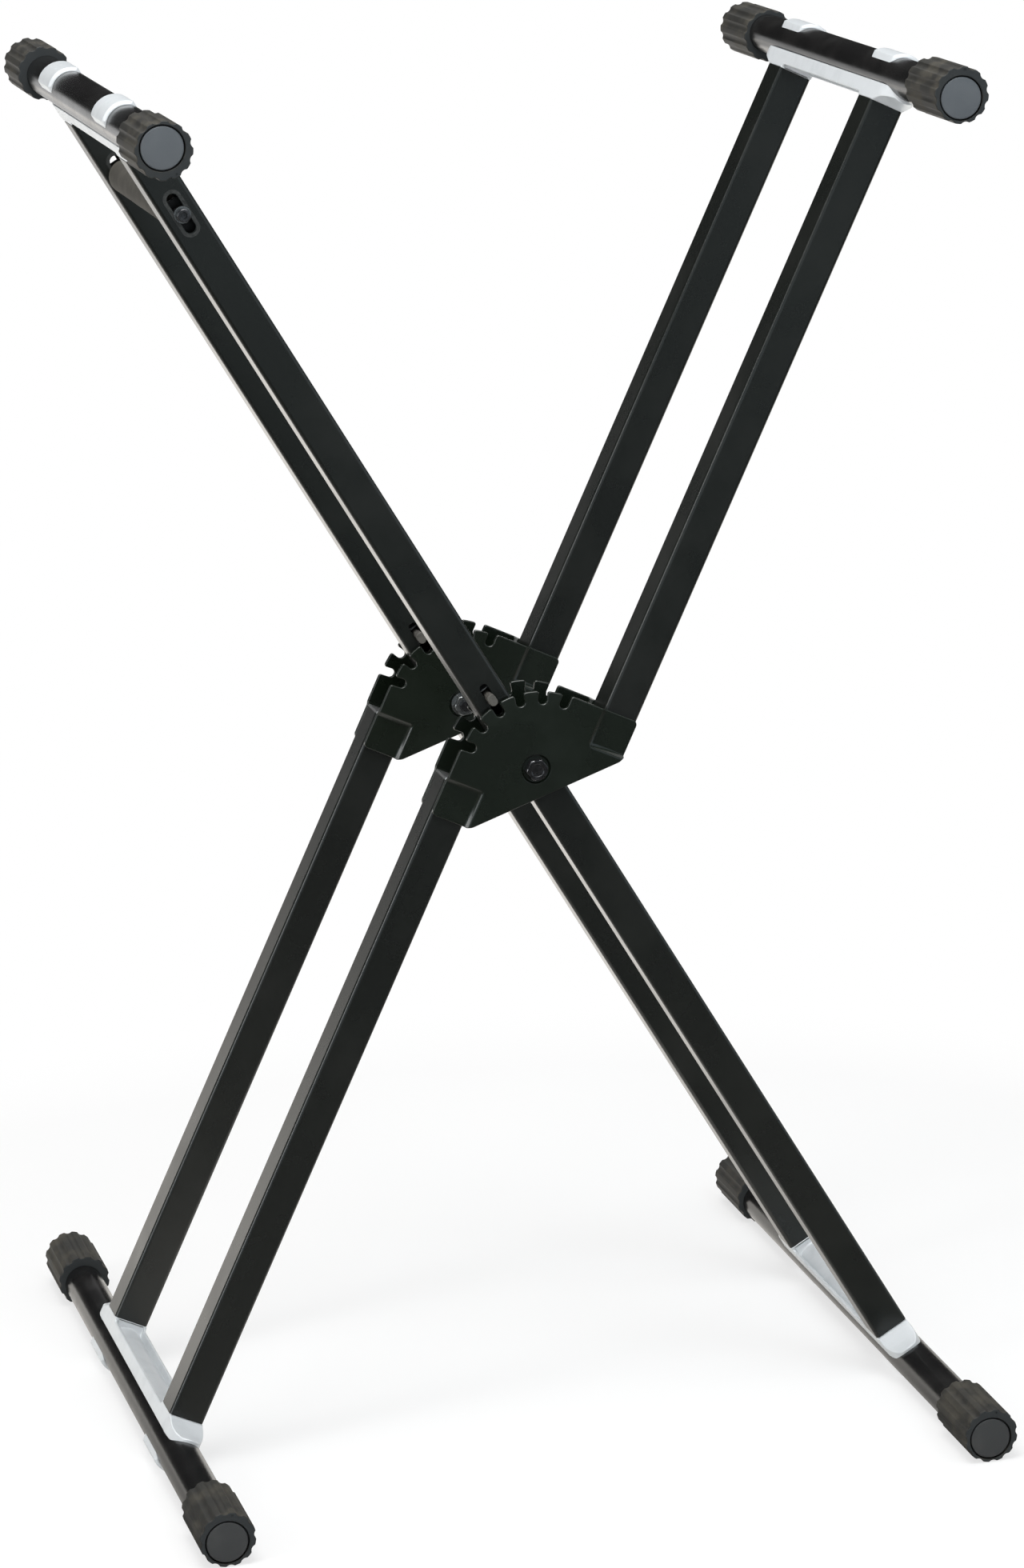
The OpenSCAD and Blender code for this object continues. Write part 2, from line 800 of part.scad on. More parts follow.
inner_bottom() saddle();  // inner_bottom_saddle
inner_top() pad(front);  // inner_top_pad_front
inner_top() pad(rear);  // inner_top_pad_rear
inner_bottom() pad(front);  // inner_bottom_pad_front
inner_bottom() pad(rear);  // inner_bottom_pad_rear
inner_arm_inserts();
inner_tie_bolts();
inner_end_plugs();
spring_stops();
return_spring(front);  // return_spring_front
return_spring(rear);  // return_spring_rear
lock_pin(front);  // lock_pin_front
lock_pin(rear);  // lock_pin_rear
pull_bar(front);  // pull_bar_front
pull_bar(rear);  // pull_bar_rear
grip_rod();
grip_sleeve();
grip_bolts();
grip_washers();
guide_bushes();
cap_top_left(front, turn_top_left_front);  // cap_top_left_front
cap_top_left(rear, turn_top_left_rear);  // cap_top_left_rear
cap_top_right(front, turn_top_right_front);  // cap_top_right_front
cap_top_right(rear, turn_top_right_rear);  // cap_top_right_rear
cap_bottom_left(front);  // cap_bottom_left_front
cap_bottom_left(rear);  // cap_bottom_left_rear
cap_bottom_right(front);  // cap_bottom_right_front
cap_bottom_right(rear);  // cap_bottom_right_rear
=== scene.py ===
# Double-braced folding X stand for a keyboard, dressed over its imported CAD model.
# Lengths in the pieces' settings are millimetres; the camera, lights, floor and card are in metres.
import json
from math import atan2, cos, pi, radians, sin

import bmesh
import bpy
from mathutils import Euler, Matrix, Vector


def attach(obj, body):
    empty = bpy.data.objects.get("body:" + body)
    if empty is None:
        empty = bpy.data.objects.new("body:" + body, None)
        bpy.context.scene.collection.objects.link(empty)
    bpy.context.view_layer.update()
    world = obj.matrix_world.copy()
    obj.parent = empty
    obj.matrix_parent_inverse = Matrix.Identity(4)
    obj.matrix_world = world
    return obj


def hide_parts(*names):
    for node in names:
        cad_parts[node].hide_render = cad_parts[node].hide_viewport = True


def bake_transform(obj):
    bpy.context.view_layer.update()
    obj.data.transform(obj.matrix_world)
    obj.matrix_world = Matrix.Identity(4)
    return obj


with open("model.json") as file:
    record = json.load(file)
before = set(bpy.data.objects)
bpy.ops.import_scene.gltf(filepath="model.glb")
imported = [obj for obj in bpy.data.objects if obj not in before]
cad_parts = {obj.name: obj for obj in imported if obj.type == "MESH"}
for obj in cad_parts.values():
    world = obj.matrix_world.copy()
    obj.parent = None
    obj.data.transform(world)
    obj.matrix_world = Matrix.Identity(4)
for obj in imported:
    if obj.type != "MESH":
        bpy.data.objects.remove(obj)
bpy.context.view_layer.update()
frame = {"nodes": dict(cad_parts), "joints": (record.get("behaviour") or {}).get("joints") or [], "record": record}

nodes = frame["nodes"]
print("Packed model loaded,", len(nodes), "nodes")

stand = {
    "notchAtRest": 3,
    "notchStep": 18.6,
    "outerReach": 503.4,
    "outerOffset": 40.6,
    "innerReach": 500.0,
    "armSpacing": 194.0,
    "topSpan": 462.0,
    "bottomSpan": 562.0,
}
# Both frames lean so that the four cross tubes lie in two level pairs
opened = radians(stand["notchAtRest"] * stand["notchStep"])
outerLean = atan2(stand["innerReach"] * sin(opened) + stand["outerOffset"],
                  stand["outerReach"] - stand["innerReach"] * cos(opened))
innerLean = outerLean + opened
millimetres = Matrix.Scale(0.001, 4)
foldJoint = [joint for joint in frame["joints"] if joint["name"] == "fold"][0]
foldPoint = Matrix.Translation(foldJoint["pos_m"])
outerFrame = foldPoint @ Matrix.Rotation(-outerLean, 4, "Y") @ millimetres
innerFrame = foldPoint @ Matrix.Rotation(-innerLean, 4, "Y") @ millimetres
# Axes of the cross tubes: Y along the tube, Z towards the arms
quarterTurn = Matrix.Rotation(radians(90), 4, "Y")
outerAlong, outerAside = stand["outerReach"], stand["outerOffset"]
outerTop = outerFrame @ Matrix.Translation((outerAlong, 0, -outerAside)) @ quarterTurn.inverted()
outerBottom = outerFrame @ Matrix.Translation((-outerAlong, 0, outerAside)) @ quarterTurn
innerTop = innerFrame @ Matrix.Translation((stand["innerReach"], 0, 0)) @ quarterTurn.inverted()
innerBottom = innerFrame @ Matrix.Translation((-stand["innerReach"], 0, 0)) @ quarterTurn


# Editing helpers

def deselectAll():
    if bpy.context.object and bpy.context.object.mode != "OBJECT":
        bpy.ops.object.mode_set(mode="OBJECT")
    bpy.ops.object.select_all(action="DESELECT")


def activate(piece):
    deselectAll()
    piece.select_set(True)
    bpy.context.view_layer.objects.active = piece
    return piece


def applied(piece):
    activate(piece)
    bpy.ops.object.transform_apply(location=True, rotation=True, scale=True)
    return piece


def block(low, high):
    deselectAll()
    size = [b - a for a, b in zip(low, high)]
    middle = [(a + b) / 2 for a, b in zip(low, high)]
    bpy.ops.mesh.primitive_cube_add(size=1, location=middle, scale=size)
    return applied(bpy.context.object)


def rod(radius, start, end, sides=64, at=(0, 0), axis="Y"):
    deselectAll()
    turn = {"Y": (pi / 2, 0, 0), "X": (0, pi / 2, 0), "Z": (0, 0, 0)}[axis]
    middle = (start + end) / 2
    place = {"Y": (at[0], middle, at[1]), "X": (middle, at[0], at[1]), "Z": (at[0], at[1], middle)}[axis]
    bpy.ops.mesh.primitive_cylinder_add(
        vertices=sides, radius=radius, depth=end - start, location=place, rotation=turn)
    return applied(bpy.context.object)


def modify(piece, kind, **settings):
    activate(piece)
    bpy.ops.object.modifier_add(type=kind)
    modifier = piece.modifiers[-1]
    for key, value in settings.items():
        setattr(modifier, key, value)
    bpy.ops.object.modifier_apply(modifier=modifier.name)
    return piece


def combine(piece, other, operation="DIFFERENCE"):
    # A cutter reaches past what it cuts, and what is added reaches a little way in
    modify(piece, "BOOLEAN", operation=operation, object=other, solver="EXACT")
    bpy.data.objects.remove(other)
    return piece


def joined(pieces):
    deselectAll()
    for piece in pieces:
        piece.select_set(True)
    bpy.context.view_layer.objects.active = pieces[0]
    bpy.ops.object.join()
    return pieces[0]


def copyOf(piece):
    twin = piece.copy()
    twin.data = piece.data.copy()
    bpy.context.scene.collection.objects.link(twin)
    return twin


def startEdit(piece, mode="VERT"):
    activate(piece)
    bpy.ops.object.mode_set(mode="EDIT")
    bpy.ops.mesh.select_mode(type=mode)
    bpy.ops.mesh.select_all(action="DESELECT")


def pickVerts(piece, test):
    shape = bmesh.from_edit_mesh(piece.data)
    for vert in shape.verts:
        vert.select_set(test(vert.co))
    shape.select_flush_mode()
    bmesh.update_edit_mesh(piece.data)


def pickEdges(piece, test):
    shape = bmesh.from_edit_mesh(piece.data)
    bpy.ops.mesh.select_mode(type="EDGE")
    bpy.ops.mesh.select_all(action="DESELECT")
    for edge in shape.edges:
        if test(edge):
            edge.select_set(True)
    bmesh.update_edit_mesh(piece.data)


def pickFaces(piece, test):
    shape = bmesh.from_edit_mesh(piece.data)
    bpy.ops.mesh.select_mode(type="FACE")
    bpy.ops.mesh.select_all(action="DESELECT")
    for face in shape.faces:
        if test(face):
            face.select_set(True)
    bmesh.update_edit_mesh(piece.data)


def endEdit(piece, fixNormals=False):
    if fixNormals:
        bpy.ops.mesh.select_all(action="SELECT")
        bpy.ops.mesh.remove_doubles(threshold=0.001)
        bpy.ops.mesh.normals_make_consistent(inside=False)
    bpy.ops.object.mode_set(mode="OBJECT")
    return piece


def sliceAt(piece, point, normal, clear=False):
    startEdit(piece)
    bpy.ops.mesh.select_all(action="SELECT")
    bpy.ops.mesh.bisect(plane_co=point, plane_no=normal, use_fill=clear, clear_outer=clear)
    return endEdit(piece)


def soften(piece, width, segments=2, angle=30):
    return modify(piece, "BEVEL", width=width, segments=segments, limit_method="ANGLE",
                  angle_limit=radians(angle), use_clamp_overlap=False)


def mirrored(piece):
    twin = copyOf(piece)
    activate(twin)
    twin.scale = (1, -1, 1)
    bpy.ops.object.transform_apply(location=False, rotation=False, scale=True)
    startEdit(twin)
    return endEdit(twin, fixNormals=True)


# Shader nodes and groups that several finishes share

def newGroup(name, inputs, outputs):
    group = bpy.data.node_groups.new(name, "ShaderNodeTree")
    kinds = {"c": "NodeSocketColor", "v": "NodeSocketFloat", "n": "NodeSocketVector"}
    for label, kind, value in inputs:
        socket = group.interface.new_socket(name=label, in_out="INPUT", socket_type=kinds[kind])
        socket.default_value = value
    for label, kind in outputs:
        group.interface.new_socket(name=label, in_out="OUTPUT", socket_type=kinds[kind])
    return group, group.nodes.new("NodeGroupInput"), group.nodes.new("NodeGroupOutput")


def addNode(tree, kind, **settings):
    node = tree.nodes.new(kind)
    for key, value in settings.items():
        setattr(node, key, value)
    return node


def coordinates(tree, kind="Object"):
    return addNode(tree, "ShaderNodeTexCoord").outputs[kind]


def splitVector(tree, vector):
    node = addNode(tree, "ShaderNodeSeparateXYZ")
    tree.links.new(vector, node.inputs["Vector"])
    return node.outputs


def setSocket(tree, socket, value):
    if isinstance(value, (int, float, tuple)):
        socket.default_value = value
    else:
        tree.links.new(value, socket)


def ramp(tree, value, low, high, toLow=0.0, toHigh=1.0):
    node = addNode(tree, "ShaderNodeMapRange", interpolation_type="SMOOTHSTEP")
    for name, number in (("From Min", low), ("From Max", high), ("To Min", toLow), ("To Max", toHigh)):
        node.inputs[name].default_value = number
    tree.links.new(value, node.inputs["Value"])
    return node.outputs["Result"]


def arithmetic(tree, operation, *values):
    node = addNode(tree, "ShaderNodeMath", operation=operation)
    for socket, value in zip(node.inputs, values):
        setSocket(tree, socket, value)
    return node.outputs[0]


def mixed(tree, kind, factor, first, second):
    node = addNode(tree, "ShaderNodeMix", data_type=kind)
    for name, value in (("Factor", factor), ("A", first), ("B", second)):
        matching = [socket for socket in node.inputs if socket.name == name and socket.enabled]
        setSocket(tree, matching[0], value)
    return [socket for socket in node.outputs if socket.enabled][0]


def noiseIn(tree, scale, detail=2.0, roughness=0.5):
    noise = addNode(tree, "ShaderNodeTexNoise")
    tree.links.new(coordinates(tree), noise.inputs["Vector"])
    setSocket(tree, noise.inputs["Scale"], scale)
    noise.inputs["Detail"].default_value = detail
    noise.inputs["Roughness"].default_value = roughness
    return noise.outputs["Fac"]


mottleSet = {
    "detail": 5.0,
    "roughness": 0.6,
    "marked": (0.42, 0.68),
}


def makeMottle(settings):
    # Cloudy change of colour and gloss, as handling and dust leave it
    group, inside, outside = newGroup("mottle", [
        ("Color", "c", (0.1, 0.1, 0.1, 1)), ("Marked Color", "c", (0.2, 0.2, 0.2, 1)),
        ("Scale", "v", 30.0), ("Amount", "v", 0.3),
        ("Roughness", "v", 0.5), ("Roughness Change", "v", 0.1)],
        [("Color", "c"), ("Roughness", "v")])
    given = inside.outputs
    noise = noiseIn(group, given["Scale"], settings["detail"], settings["roughness"])
    mask = arithmetic(group, "MULTIPLY", ramp(group, noise, *settings["marked"]), given["Amount"])
    color = mixed(group, "RGBA", mask, given["Color"], given["Marked Color"])
    gloss = arithmetic(group, "MULTIPLY_ADD", mask, given["Roughness Change"], given["Roughness"])
    group.links.new(color, outside.inputs["Color"])
    group.links.new(gloss, outside.inputs["Roughness"])
    return group


def makeGrain():
    # Fine relief: orange peel in powder coat, moulded or foamed texture
    group, inside, outside = newGroup("grain", [
        ("Scale", "v", 900.0), ("Depth", "v", 0.00004), ("Strength", "v", 0.3)], [("Normal", "n")])
    noise = noiseIn(group, inside.outputs["Scale"])
    bump = addNode(group, "ShaderNodeBump")
    group.links.new(noise, bump.inputs["Height"])
    group.links.new(inside.outputs["Depth"], bump.inputs["Distance"])
    group.links.new(inside.outputs["Strength"], bump.inputs["Strength"])
    group.links.new(bump.outputs["Normal"], outside.inputs["Normal"])
    return group


mottle = makeMottle(mottleSet)
grain = makeGrain()


def placeGroup(tree, group, **values):
    node = tree.nodes.new("ShaderNodeGroup")
    node.node_tree = group
    for key, value in values.items():
        node.inputs[key.replace("_", " ")].default_value = value
    return node


def rgb(color):
    return (*color, 1)


def newMaterial(name):
    material = bpy.data.materials.new(name)
    material.use_nodes = True
    return material, material.node_tree


def newFinish(name, color, marked, roughness, change=0.1, scale=30.0, amount=0.3,
              metallic=0.0, specular=0.5, grainScale=900.0, depth=0.00004, strength=0.3):
    material, tree = newMaterial(name)
    shader = tree.nodes["Principled BSDF"]
    shader.inputs["Metallic"].default_value = metallic
    shader.inputs["Specular IOR Level"].default_value = specular
    cloud = placeGroup(tree, mottle, Color=rgb(color), Marked_Color=rgb(marked), Scale=scale,
                       Amount=amount, Roughness=roughness, Roughness_Change=change)
    relief = placeGroup(tree, grain, Scale=grainScale, Depth=depth, Strength=strength)
    tree.links.new(cloud.outputs["Color"], shader.inputs["Base Color"])
    tree.links.new(cloud.outputs["Roughness"], shader.inputs["Roughness"])
    tree.links.new(relief.outputs["Normal"], shader.inputs["Normal"])
    return material


finishes = {
    "arm_black": newFinish("satinPowderCoat", (0.0064, 0.0078, 0.0066), (0.0115, 0.0124, 0.0106), 0.27,
                           scale=14, amount=0.5, grainScale=1500, depth=0.000012),
    "bracket_black": newFinish("bracketPowderCoat", (0.0048, 0.0080, 0.0046), (0.0080, 0.0120, 0.0080), 0.27,
                               change=0.08, scale=22, amount=0.5, grainScale=1500, depth=0.000012),
    "cross_tube_black": newFinish("glossTubePaint", (0.0065, 0.0065, 0.0065), (0.014, 0.0135, 0.013), 0.21,
                                  scale=26, amount=0.6, specular=0.4, grainScale=700, depth=0.00001,
                                  strength=0.2),
    "cast_silver": newFinish("silverCasting", (0.57, 0.595, 0.61), (0.48, 0.505, 0.52), 0.33,
                             scale=60, amount=0.5, specular=0.6, grainScale=800),
    "cap_rubber": newFinish("ribbedRubber", (0.015, 0.0148, 0.0132), (0.046, 0.042, 0.033), 0.58,
                            change=0.14, scale=52, amount=0.8, specular=0.22, grainScale=1300),
    "plug_plastic": newFinish("plugPlastic", (0.085, 0.095, 0.104), (0.105, 0.115, 0.124), 0.50,
                              change=0.08, scale=60, amount=0.5, grainScale=2200, depth=0.00003),
    # Darker copy of the plug plastic for the lower plugs: painted shade
    "worn_plug": newFinish("wornPlugPlastic", (0.036, 0.038, 0.039), (0.052, 0.053, 0.052), 0.52,
                           change=0.08, scale=80, amount=0.6, grainScale=2000, depth=0.00003),
    "grip_foam": newFinish("gripFoam", (0.060, 0.056, 0.048), (0.090, 0.084, 0.072), 0.9,
                           change=0.05, scale=70, amount=0.6, specular=0.25, grainScale=1800, depth=0.0001),
    "nylon": newFinish("nylonWasher", (0.62, 0.61, 0.56), (0.52, 0.50, 0.45), 0.5),
    "bolt_black_zinc": newFinish("blackZinc", (0.080, 0.080, 0.083), (0.13, 0.13, 0.135), 0.20,
                                 change=0.12, scale=260, amount=0.6, metallic=0.92, grainScale=2600),
    "zinc": newFinish("brightZinc", (0.22, 0.23, 0.23), (0.11, 0.115, 0.12), 0.20,
                      change=0.15, scale=260, amount=0.6, metallic=0.85, grainScale=2600),
    "lock_steel": newFinish("wornSteel", (0.17, 0.162, 0.145), (0.085, 0.081, 0.072), 0.40,
                            change=0.12, scale=300, amount=0.6, metallic=0.6, grainScale=2400),
    "dark_steel": newFinish("dullBlackSteel", (0.020, 0.020, 0.020), (0.045, 0.045, 0.044), 0.45,
                            scale=150, amount=0.5, metallic=0.5),
    "plain_steel": newFinish("millSteel", (0.26, 0.27, 0.27), (0.18, 0.18, 0.18), 0.4,
                             scale=150, amount=0.5, metallic=0.9),
}


# The flat ends of the caps get a painted blue-grey sheen in place of the brown of the handled sides
capEndSheenSet = {
    "color": (0.030, 0.034, 0.036),
    "flat": (0.75, 0.98),
    "amount": 0.85,
}


def addPaintedEndSheen(material, settings):
    tree = material.node_tree
    base = tree.nodes["Principled BSDF"].inputs["Base Color"]
    flat = arithmetic(tree, "ABSOLUTE", splitVector(tree, coordinates(tree, "Normal"))["Y"])
    mask = ramp(tree, flat, *settings["flat"], 0.0, settings["amount"])
    # Painted sheen: blue-grey mixed in where a face points along Y
    tree.links.new(mixed(tree, "RGBA", mask, base.links[0].from_socket, rgb(settings["color"])), base)


addPaintedEndSheen(finishes["cap_rubber"], capEndSheenSet)


# Where the grip's washers have rubbed the inner arms: a stadium round each grip slot
wearSet = {
    "from": 423.2,
    "to": 444.2,
    "innerRadius": 4.0,
    "outerRadius": 6.2,
    "speckleScale": 420,
    "speckleDetail": 4.0,
    "speckleRoughness": 0.7,
    "speckleGain": 1.4,
    "speckleLoss": 0.25,
    "color": (0.060, 0.061, 0.059),
}


def addRubbedRing(material, settings):
    tree = material.node_tree
    base = tree.nodes["Principled BSDF"].inputs["Base Color"]
    start, stop = settings["from"] / 1000, settings["to"] / 1000
    inner, outer = settings["innerRadius"] / 1000, settings["outerRadius"] / 1000
    along = addNode(tree, "ShaderNodeMapping", vector_type="TEXTURE")
    along.inputs["Location"].default_value = foldPoint.translation
    along.inputs["Rotation"].default_value = (0, -innerLean, 0)
    tree.links.new(coordinates(tree), along.inputs["Vector"])
    place = splitVector(tree, along.outputs["Vector"])

    def step(operation, *values):
        return arithmetic(tree, operation, *values)
    fromMiddle = step("ABSOLUTE", step("SUBTRACT", place["X"], (start + stop) / 2))
    past = step("MAXIMUM", step("SUBTRACT", fromMiddle, (stop - start) / 2), 0.0)
    away = step("SQRT", step("ADD", step("POWER", past, 2.0), step("POWER", place["Z"], 2.0)))
    ring = step("COMPARE", away, (inner + outer) / 2, (outer - inner) / 2)
    speckle = noiseIn(tree, settings["speckleScale"], settings["speckleDetail"],
                      settings["speckleRoughness"])
    patches = step("MULTIPLY_ADD", speckle, settings["speckleGain"], -settings["speckleLoss"])
    worn = step("MULTIPLY", ring, patches)
    tree.links.new(mixed(tree, "RGBA", worn, base.links[0].from_socket, rgb(settings["color"])), base)
    return material


rubbedArm = addRubbedRing(finishes["arm_black"].copy(), wearSet)
rubbedArm.name = "rubbedPowderCoat"
for part in frame["record"]["subparts"]:
    node = nodes[part["node"]]
    node.data.materials.clear()
    finish = rubbedArm if part["node"].startswith("inner_tube") else finishes[part["material_slot"]]
    node.data.materials.append(finish)
    activate(node)
    bpy.ops.object.shade_smooth_by_angle(angle=radians(30))
print("Finishes on", len(nodes), "nodes")


def put(piece, place):
    piece.matrix_world = place
    return applied(piece)


def finished(piece, name, place, body, slot, replaced, smooth=35):
    # Puts a modelled piece in its place in the stand, with its finish and what the frame needs to know
    put(piece, place)
    piece.name = name
    piece.data.name = name
    bpy.ops.object.shade_smooth_by_angle(angle=radians(smooth))
    modify(piece, "WEIGHTED_NORMAL", keep_sharp=True)  # flat faces stay flat beside their bevels
    piece.data.materials.clear()
    piece.data.materials.append(finishes[slot])
    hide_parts(*replaced)
    if body:
        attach(piece, body)
    return piece


def turned(piece, angle):
    # About Y, from X towards Z
    return put(piece, Matrix.Rotation(-radians(angle), 4, "Y"))


def bevelEdges(piece, test, width, segments=4):
    startEdit(piece, "EDGE")
    pickEdges(piece, test)
    bpy.ops.mesh.bevel(offset=width, offset_type="OFFSET", segments=segments, affect="EDGES",
                       clamp_overlap=False)
    return endEdit(piece)


def edgeAlong(edge, axis):
    run = edge.verts[1].co - edge.verts[0].co
    return abs(run[axis]) > 0.98 * run.length


def edgeAt(edge, axis, level, reach=0.01):
    return all(abs(vert.co[axis] - level) < reach for vert in edge.verts)


def atSide(place, side):
    return place @ Matrix.Translation((0, side * stand["armSpacing"] / 2, 0))


sides = {"Front": -1, "Rear": 1}


# Bracket plates, drawn flat in the outer frame's axes and stepped where they lie on an arm
plateSet = {
    "half": 52.6,
    "inside": 15.5,
    "outside": 18.5,
    "skirt": 19.2,
    "toothRadius": 51.6,
    "toothReach": 1.4,
    "notchFloor": 43.0,
    "notchWidth": 6.1,
    "notches": 6,
    "joggle": 2.5,
    "gripLength": 24.0,
    "toothCorner": 1.5,
    "plateCorner": 3.2,
    "edge": 0.75,
    "dishRadius": 9.4,
    "dishDepth": 1.5,
    "dishFillet": 1.1,
    "bossRadius": 12.4,
    "holeRadius": 4.2,
}


def modelPlate(settings):
    half, low, high = settings["half"], settings["inside"], settings["outside"]
    toothRadius, step = settings["toothRadius"], stand["notchStep"]
    plate = block((-half, low, -half), (half, high, half))
    diagonal = Vector((1, 0, 1)).normalized()
    sliceAt(plate, -settings["skirt"] * diagonal, -diagonal, clear=True)
    fanEdge = -half * sin(radians((settings["notches"] - 1) * step - 90))
    fan = block((fanEdge, low - 1, 0), (2 * half, high + 1, 2 * half))
    rim = turned(rod(toothRadius, low - 2, high + 2, sides=116), step / 6)
    combine(plate, combine(fan, rim))
    # Notches with round floors
    halfWidth = settings["notchWidth"] / 2
    floorAt = settings["notchFloor"] + halfWidth
    notch = block((floorAt, low - 1, -halfWidth), (2 * half, high + 1, halfWidth))
    combine(notch, rod(halfWidth, low - 1, high + 1, sides=32, at=(floorAt, 0)), "UNION")
    for number in range(settings["notches"]):
        combine(plate, turned(copyOf(notch), number * step))
    bpy.data.objects.remove(notch)
    # Rounded corners, first of the plate and then of its teeth
    cut = settings["skirt"] * 2 ** 0.5
    corners = [(-half, half), (half, -half), (-half, half - cut), (half - cut, -half)]
    near = 0.1

    def atCorner(edge):
        place = edge.verts[0].co
        return edgeAlong(edge, 1) and any(
            abs(place.x - x) < near and abs(place.z - z) < near for x, z in corners)
    bevelEdges(plate, atCorner, settings["plateCorner"], 5)

    def atTooth(edge):
        place = edge.verts[0].co
        outward = (place.x ** 2 + place.z ** 2) ** 0.5
        onRim = abs(outward - toothRadius) < settings["toothReach"]
        return edgeAlong(edge, 1) and onRim and edge.calc_face_angle(0) > radians(60)
    bevelEdges(plate, atTooth, settings["toothCorner"], 3)
    # Joggle: the two corners that lie on the arms step inwards over a short slope
    foldAt = half - settings["gripLength"]
    flatFrom = foldAt - settings["joggle"]
    for level in (foldAt, flatFrom, -flatFrom, -foldAt):
        sliceAt(plate, (level, 0, 0), (1, 0, 0))
        sliceAt(plate, (0, 0, level), (0, 0, 1))
    startEdit(plate)
    pickVerts(plate, lambda place: (place.x < 0.01 - foldAt and place.z > foldAt - 0.01)
              or (place.x > foldAt - 0.01 and place.z < 0.01 - foldAt))
    bpy.ops.transform.translate(value=(0, -settings["joggle"], 0))
    endEdit(plate)
    # Dish round the fold bolt, with its boss behind
    combine(plate, rod(settings["bossRadius"], low - settings["dishDepth"], low + 0.5), "UNION")
    dish = rod(settings["dishRadius"], high - settings["dishDepth"], high + 4, sides=96)
    bevelEdges(dish, lambda edge: edgeAt(edge, 1, high - settings["dishDepth"]), settings["dishFillet"], 4)
    combine(plate, dish)
    combine(plate, rod(settings["holeRadius"], low - 4, high + 4, sides=48))
    return soften(plate, settings["edge"], segments=3, angle=42)


plateModel = modelPlate(plateSet)
for sideName, side in sides.items():
    for faceName, face in (("Inside", -side), ("Outside", side)):
        plate = copyOf(plateModel) if face > 0 else mirrored(plateModel)
        finished(plate, "bracketPlate" + sideName + faceName, atSide(outerFrame, side), "outer_frame",
                 "bracket_black", ["bracket_plate_" + sideName.lower() + "_" + faceName.lower()], smooth=40)
bpy.data.objects.remove(plateModel)
print("Bracket plates")


# Saddles between the arms and a cross tube: Y along the tube, Z towards the arms
saddleSet = {
    "halfWidth": 11.8,
    "halfLength": 138.0,
    "taper": 22.0,
    "skirt": 8.0,
    "seat": 20.0,
    "seatInner": 83.0,
    "seatOuter": 111.0,
    "shellRadius": 15.4,
    "tubeRadius": 13.25,
    "sideThickness": 2.2,
    "sideDrop": 2.6,
    "troughDepth": 9.0,
    "filletShare": 0.9,
    "endDrop": 5.7,
    "boltHole": 3.2,
    "edge": 0.85,
}


def modelSaddle(settings):
    wide, seat = settings["halfWidth"], settings["seat"]
    straight = settings["halfLength"] - settings["taper"]
    saddle = block((-wide, -straight, settings["skirt"]), (wide, straight, seat))
    for end in (-1, 1):
        nose = rod(wide, settings["skirt"], seat, sides=64, axis="Z")
        stretch = Matrix.Scale(settings["taper"] / wide, 4, (0, 1, 0))
        put(nose, Matrix.Translation((0, end * straight, 0)) @ stretch)
        combine(saddle, nose, "UNION")
    # Sides a little lower than the arms' seats, with a trough between them down to the shell
    for halfWidth, depth in ((2 * wide, settings["sideDrop"]),
                             (wide - settings["sideThickness"], settings["troughDepth"])):
        low, inner = seat - depth, settings["seatInner"]
        hollow = block((-halfWidth, -inner, low), (halfWidth, inner, seat + 9))
        bevelEdges(hollow, lambda edge: edgeAlong(edge, 0) and edgeAt(edge, 2, low),
                   settings["filletShare"] * depth, 8)
        combine(saddle, combine(hollow, rod(settings["shellRadius"], -200, 200, sides=96)))
    # Scooped outer ends
    halfScoop = settings["halfLength"] - settings["seatOuter"]
    scoopRadius = (halfScoop ** 2 + settings["endDrop"] ** 2) / (2 * settings["endDrop"])
    for end in (-1, 1):
        scoop = rod(scoopRadius, -30, 30, sides=240, axis="X",
                    at=(end * settings["halfLength"], seat + scoopRadius - settings["endDrop"]))
        combine(saddle, combine(scoop, rod(settings["shellRadius"], -220, 220, sides=96)))
    soften(saddle, settings["edge"], segments=3, angle=38)
    combine(saddle, rod(settings["tubeRadius"], -200, 200, sides=96))
    for side in (-1, 1):
        hole = rod(settings["boltHole"], 0, 30, sides=24, axis="Z", at=(0, side * stand["armSpacing"] / 2))
        combine(saddle, hole)
    return saddle


saddleModel = modelSaddle(saddleSet)
crossPlaces = {
    "outer_top": (outerTop, "outer_frame"),
    "outer_bottom": (outerBottom, "outer_frame"),
    "inner_top": (innerTop, "inner_frame"),
    "inner_bottom": (innerBottom, "inner_frame"),
}


def camel(words):
    first, *rest = words.split("_")
    return first + "".join(word.capitalize() for word in rest)


for key, (place, body) in crossPlaces.items():
    finished(copyOf(saddleModel), camel(key + "_saddle"), place, body, "cast_silver", [key + "_saddle"],
             smooth=32)
bpy.data.objects.remove(saddleModel)
print("Saddles")


# Pads that wrap the far side of each cross tube, under the tie bolts
padSet = {
    "halfWidth": 11.8,
    "halfLength": 21.0,
    "outerRadius": 15.8,
    "tubeRadius": 13.25,
    "pocketRadius": 4.9,
    "pocketDepth": 1.4,
    "corner": 3.5,
    "endChamfer": 1.9,
    "edge": 0.4,
    "outlineSpare": 0.03,
    "ringRadius": 6.2,
    "ringWidth": 0.7,
    "ringDepth": 0.16,
}


